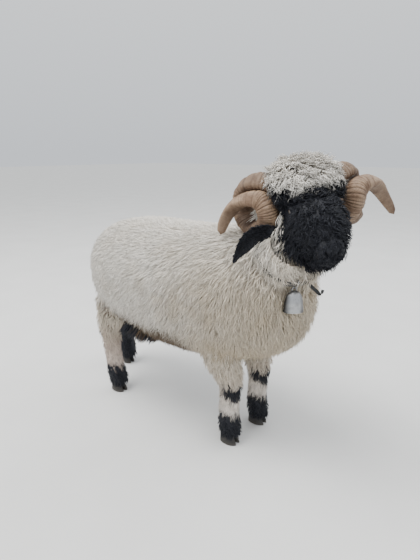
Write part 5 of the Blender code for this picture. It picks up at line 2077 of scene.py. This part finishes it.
@dataclass(frozen=True)
class Studio:
    """The pale floor, the soft light and the camera at the photograph's angle."""

    camera_place: tuple = (1.076, -1.138, 1.0)
    camera_way: tuple = (-0.62, 0.784)
    camera_pitch: float = math.radians(16.9)
    lens: float = 18.0
    sensor: float = 24.0
    floor_size: float = 60.0
    sky: float = 1.35

    def floor(self) -> Object:
        """The plain pale floor.

        Returns:
            The floor.
        """
        made, nodes = material("floor")
        cloud = nodes.spread(nodes.noise(3.0, 4.0), 0.3, 0.7)
        nodes.surface(nodes.mix(cloud, (0.68, 0.68, 0.67), (0.72, 0.72, 0.71)), 0.9)
        bm = bmesh.new()
        bmesh.ops.create_grid(bm, x_segments=2, y_segments=2, size=self.floor_size / 2)
        floor = piece("floor", bm, made, smooth=False)
        return floor

    def camera(self) -> None:
        """The camera at the photograph's place and angle."""
        data = bpy.data.cameras.new("camera")
        data.lens = self.lens
        data.sensor_width = self.sensor
        data.sensor_fit = "AUTO"
        made = bpy.data.objects.new("camera", data)
        bpy.context.scene.collection.objects.link(made)
        made.location = Vector(self.camera_place) + STANCE
        level = Vector((*self.camera_way, 0)).normalized()
        way = level * math.cos(self.camera_pitch) - UP * math.sin(self.camera_pitch)
        made.rotation_euler = way.to_track_quat("-Z", "Y").to_euler()
        bpy.context.scene.camera = made

    def lamp(self, name: str, place: tuple, size: float, power: float, colour: tuple) -> None:
        """A square soft light that faces the ram.

        Args:
            name: The light's name.
            place: Where it hangs.
            size: Its side.
            power: Its power in watts.
            colour: Its colour.
        """
        data = bpy.data.lights.new(name, "AREA")
        data.size = size
        data.energy = power
        data.color = colour
        made = bpy.data.objects.new(name, data)
        bpy.context.scene.collection.objects.link(made)
        made.location = place
        made.rotation_euler = (Vector((0, 0, 0.5)) - made.location).to_track_quat("-Z", "Y").to_euler()

    def build(self) -> None:
        """Makes the floor, sky, lamps and camera."""
        self.floor()
        world = bpy.data.worlds.new("sky")
        world.use_nodes = True
        nodes = Shader(world.node_tree)
        place = nodes.node("ShaderNodeTexCoord").outputs["Generated"]
        height = nodes.node("ShaderNodeSeparateXYZ", in_0=place).outputs["Z"]
        colour = nodes.mix(nodes.spread(height, 0.0, 0.7), (0.60, 0.63, 0.67), (0.97, 0.99, 1.0))
        back = nodes.node("ShaderNodeBackground", in_0=colour, in_1=self.sky)
        nodes.node("ShaderNodeOutputWorld", in_0=back.outputs[0])
        bpy.context.scene.world = world
        self.lamp("key", (-1.0, -1.5, 5.0), 3.0, 330.0, (1.0, 0.99, 0.97))
        self.lamp("rim", (1.5, 3.0, 3.5), 2.5, 60.0, (0.95, 0.97, 1.0))
        self.camera()


# The stretch of the torso, as shares of its length, where long wool painted black as shade hangs before the
# near thigh.
SHADED_GROIN = (0.400, 0.465)


def dress_coat(skin: Skin, horns: list[Horn], bell: Bell, wool: Material) -> list[Object]:
    """Grows every piece of the coat.

    Args:
        skin: The skin that carries it.
        horns: The horns that it stays clear of.
        bell: The bell that it stays clear of.
        wool: Its finish.

    Returns:
        The coat's pieces.
    """
    coat = Coat(skin, Guard([horn.line() for horn in horns], bell.frame()), wool)
    torso, neck, tail = Torso().form(), NECK.form(), TAIL.form()
    head = Head()
    fleece = {"rump": Tuft(0.044, 0.0016, lift=33.0, settle=12.0, wave=0.0026, waves=1.4, stray=0.34, rings=3,
                           clump=0.10),
              "shoulder": Tuft(0.050, 0.0016, lift=33.0, settle=11.0, wave=0.0030, waves=1.4, stray=0.27,
                               rings=3, clump=0.30)}
    turn = 2 * math.pi
    quarters = {"right": (0.50, 0.80), "left": (-0.30, 0.0), "right_up": (0.25, 0.50), "left_up": (0.0, 0.25)}
    for word, (low, high) in quarters.items():
        count = 8200 if "right" in word else 4500
        for end, shares in (("rump", (0.0, 0.48)), ("shoulder", (0.48, 1.0))):
            coat.sow(Patch(f"coat_{word}_{end}", torso, fleece[end], count, shares,
                           (low * turn, high * turn)))
    belly = Tuft(0.030, 0.0028, wave=0.0018, stray=0.3, rings=3)
    coat.sow(Patch("coat_belly", torso, belly, 2000, (0.05, 0.95), (0.68 * turn, 0.82 * turn)))
    # Long wool hanging under the belly before the near thigh, painted black there as shade.
    fringe = Tuft(0.070, 0.0022, lift=76.0, settle=66.0, wave=0.0022, stray=0.4, rings=3)
    coat.sow(Patch("coat_belly", torso, fringe, 900, SHADED_GROIN, (0.60 * turn, 0.75 * turn)))
    throat = Tuft(0.050, 0.0023, lift=46.0, settle=14.0, wave=0.0030, waves=1.6, stray=0.30, rings=4)
    coat.sow(Patch("coat_neck", neck, throat, 4000, (0.15, 1.0)))
    ruff = Tuft(0.048, 0.0015, lift=40.0, settle=12.0, wave=0.0040, waves=1.5, stray=0.60, rings=4,
                spread=0.45, clump=0.4)
    bib = replace(ruff, length=0.030)
    for tuft, low, high, count, start in ((ruff, -0.20, 0.715, 3300, 0.0), (ruff, 0.80, 0.83, 120, 0.0),
                                          (bib, 0.70, 0.81, 700, 0.45)):
        coat.sow(Patch("coat_ruff", bell.collar.ring(), tuft, count, (start, 1.0), (low * turn, high * turn),
                       0.09, False))
    coat.sow(Patch("coat_tail", tail, Tuft(0.040, 0.0026, wave=0.0022, stray=0.25, rings=3), 1200))
    shank = Tuft(0.026, 0.0018, lift=34.0, settle=12.0, wave=0.0016, waves=1.1, stray=0.30, rings=3)
    for leg in LEGS:
        word = "hind" if leg.hind else "front"
        coat.sow(Patch("coat_legs_" + word, leg.form(), shank, 2700, (0.0, 0.985)))
    curl = Tuft(0.024, 0.0015, lift=62.0, settle=20.0, wave=0.0034, waves=1.3, stray=0.75, rings=4)
    coat.sow(Patch("coat_face", head.skin(), curl, 4200, (0.10, 1.0), reach=0.006))
    for lip in head.lips():
        coat.sow(Patch("coat_face", lip, curl, 330, reach=0.004))
    coat.sow(Patch("coat_cheeks", head.fleece(), curl, 5200, (0.0, 1.0), reach=0.008))
    coat.sow(Patch("coat_jaw", head.ball("jaw", *head.jaw, head.wool_depth), curl, 2300, reach=0.006))
    beard = Tuft(0.052, 0.0017, lift=52.0, settle=14.0, wave=0.0046, waves=1.6, stray=0.45, rings=4,
                 clump=0.4)
    coat.sow(Patch("coat_beard", head.beard(), beard, 2800, (0.24, 0.84), (0.53 * turn, 0.93 * turn),
                   reach=0.02))
    shaggy = Tuft(0.046, 0.0016, lift=56.0, settle=20.0, wave=0.0052, waves=1.9, stray=0.55, rings=6,
                  clump=0.6, per_clump=16)
    coat.sow(Patch("coat_topknot", head.ball("topknot", *head.topknot, head.topknot_depth), shaggy, 4700,
                   (0.0, 0.62), reach=0.008))
    for ear in EARS:
        coat.ears(ear, Tuft(0.015, 0.0015, lift=24.0, settle=10.0, wave=0.0012, stray=0.3, rings=3), 1400)
    return coat.finish_pieces()


def report_pieces(made: list[Object]) -> None:
    """Lets every piece ride on the body and reports it.

    Args:
        made: The pieces.
    """
    for obj in made:
        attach(obj, BODY)
        LOG.info("%s: %d faces", obj.name, len(obj.data.polygons))


def main() -> None:
    """Builds the ram's looks in order."""
    logging.basicConfig(level=logging.INFO, format="%(name)s: %(message)s")
    Studio().build()
    wool = WoolFinish()
    skin = Skin()
    body = skin.build(wool.make("undercoat", fine=False))
    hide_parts("head", "neck", "torso", "tail", "ear_left", "ear_right",
                *["leg_" + leg.name for leg in LEGS])
    horns = [Horn(Side.RIGHT, (0.02, -0.22), 1.0, 0.82), Horn(Side.LEFT, (0.02, -0.27), 1.18, 1.0)]
    horn_finish = HornFinish().make()
    eye_finish = EyeFinish().make()
    claw_finish = ClawFinish().make()
    strap_finish = StrapFinish().make()
    collar = Collar()
    bell = Bell(collar)
    made = [body]
    made += [horn.build(horn_finish) for horn in horns]
    made += [Eye(side).build(eye_finish) for side in Side]
    made += [Claw(leg, inner).build(claw_finish) for leg in LEGS for inner in (False, True)]
    made += [collar.strap(strap_finish), collar.loose_end(strap_finish)]
    made += bell.build(SteelFinish().make())
    coat = dress_coat(skin, horns, bell, wool.make("wool", fine=True))
    report_pieces(made + coat)


if __name__ == "__main__":
    main()
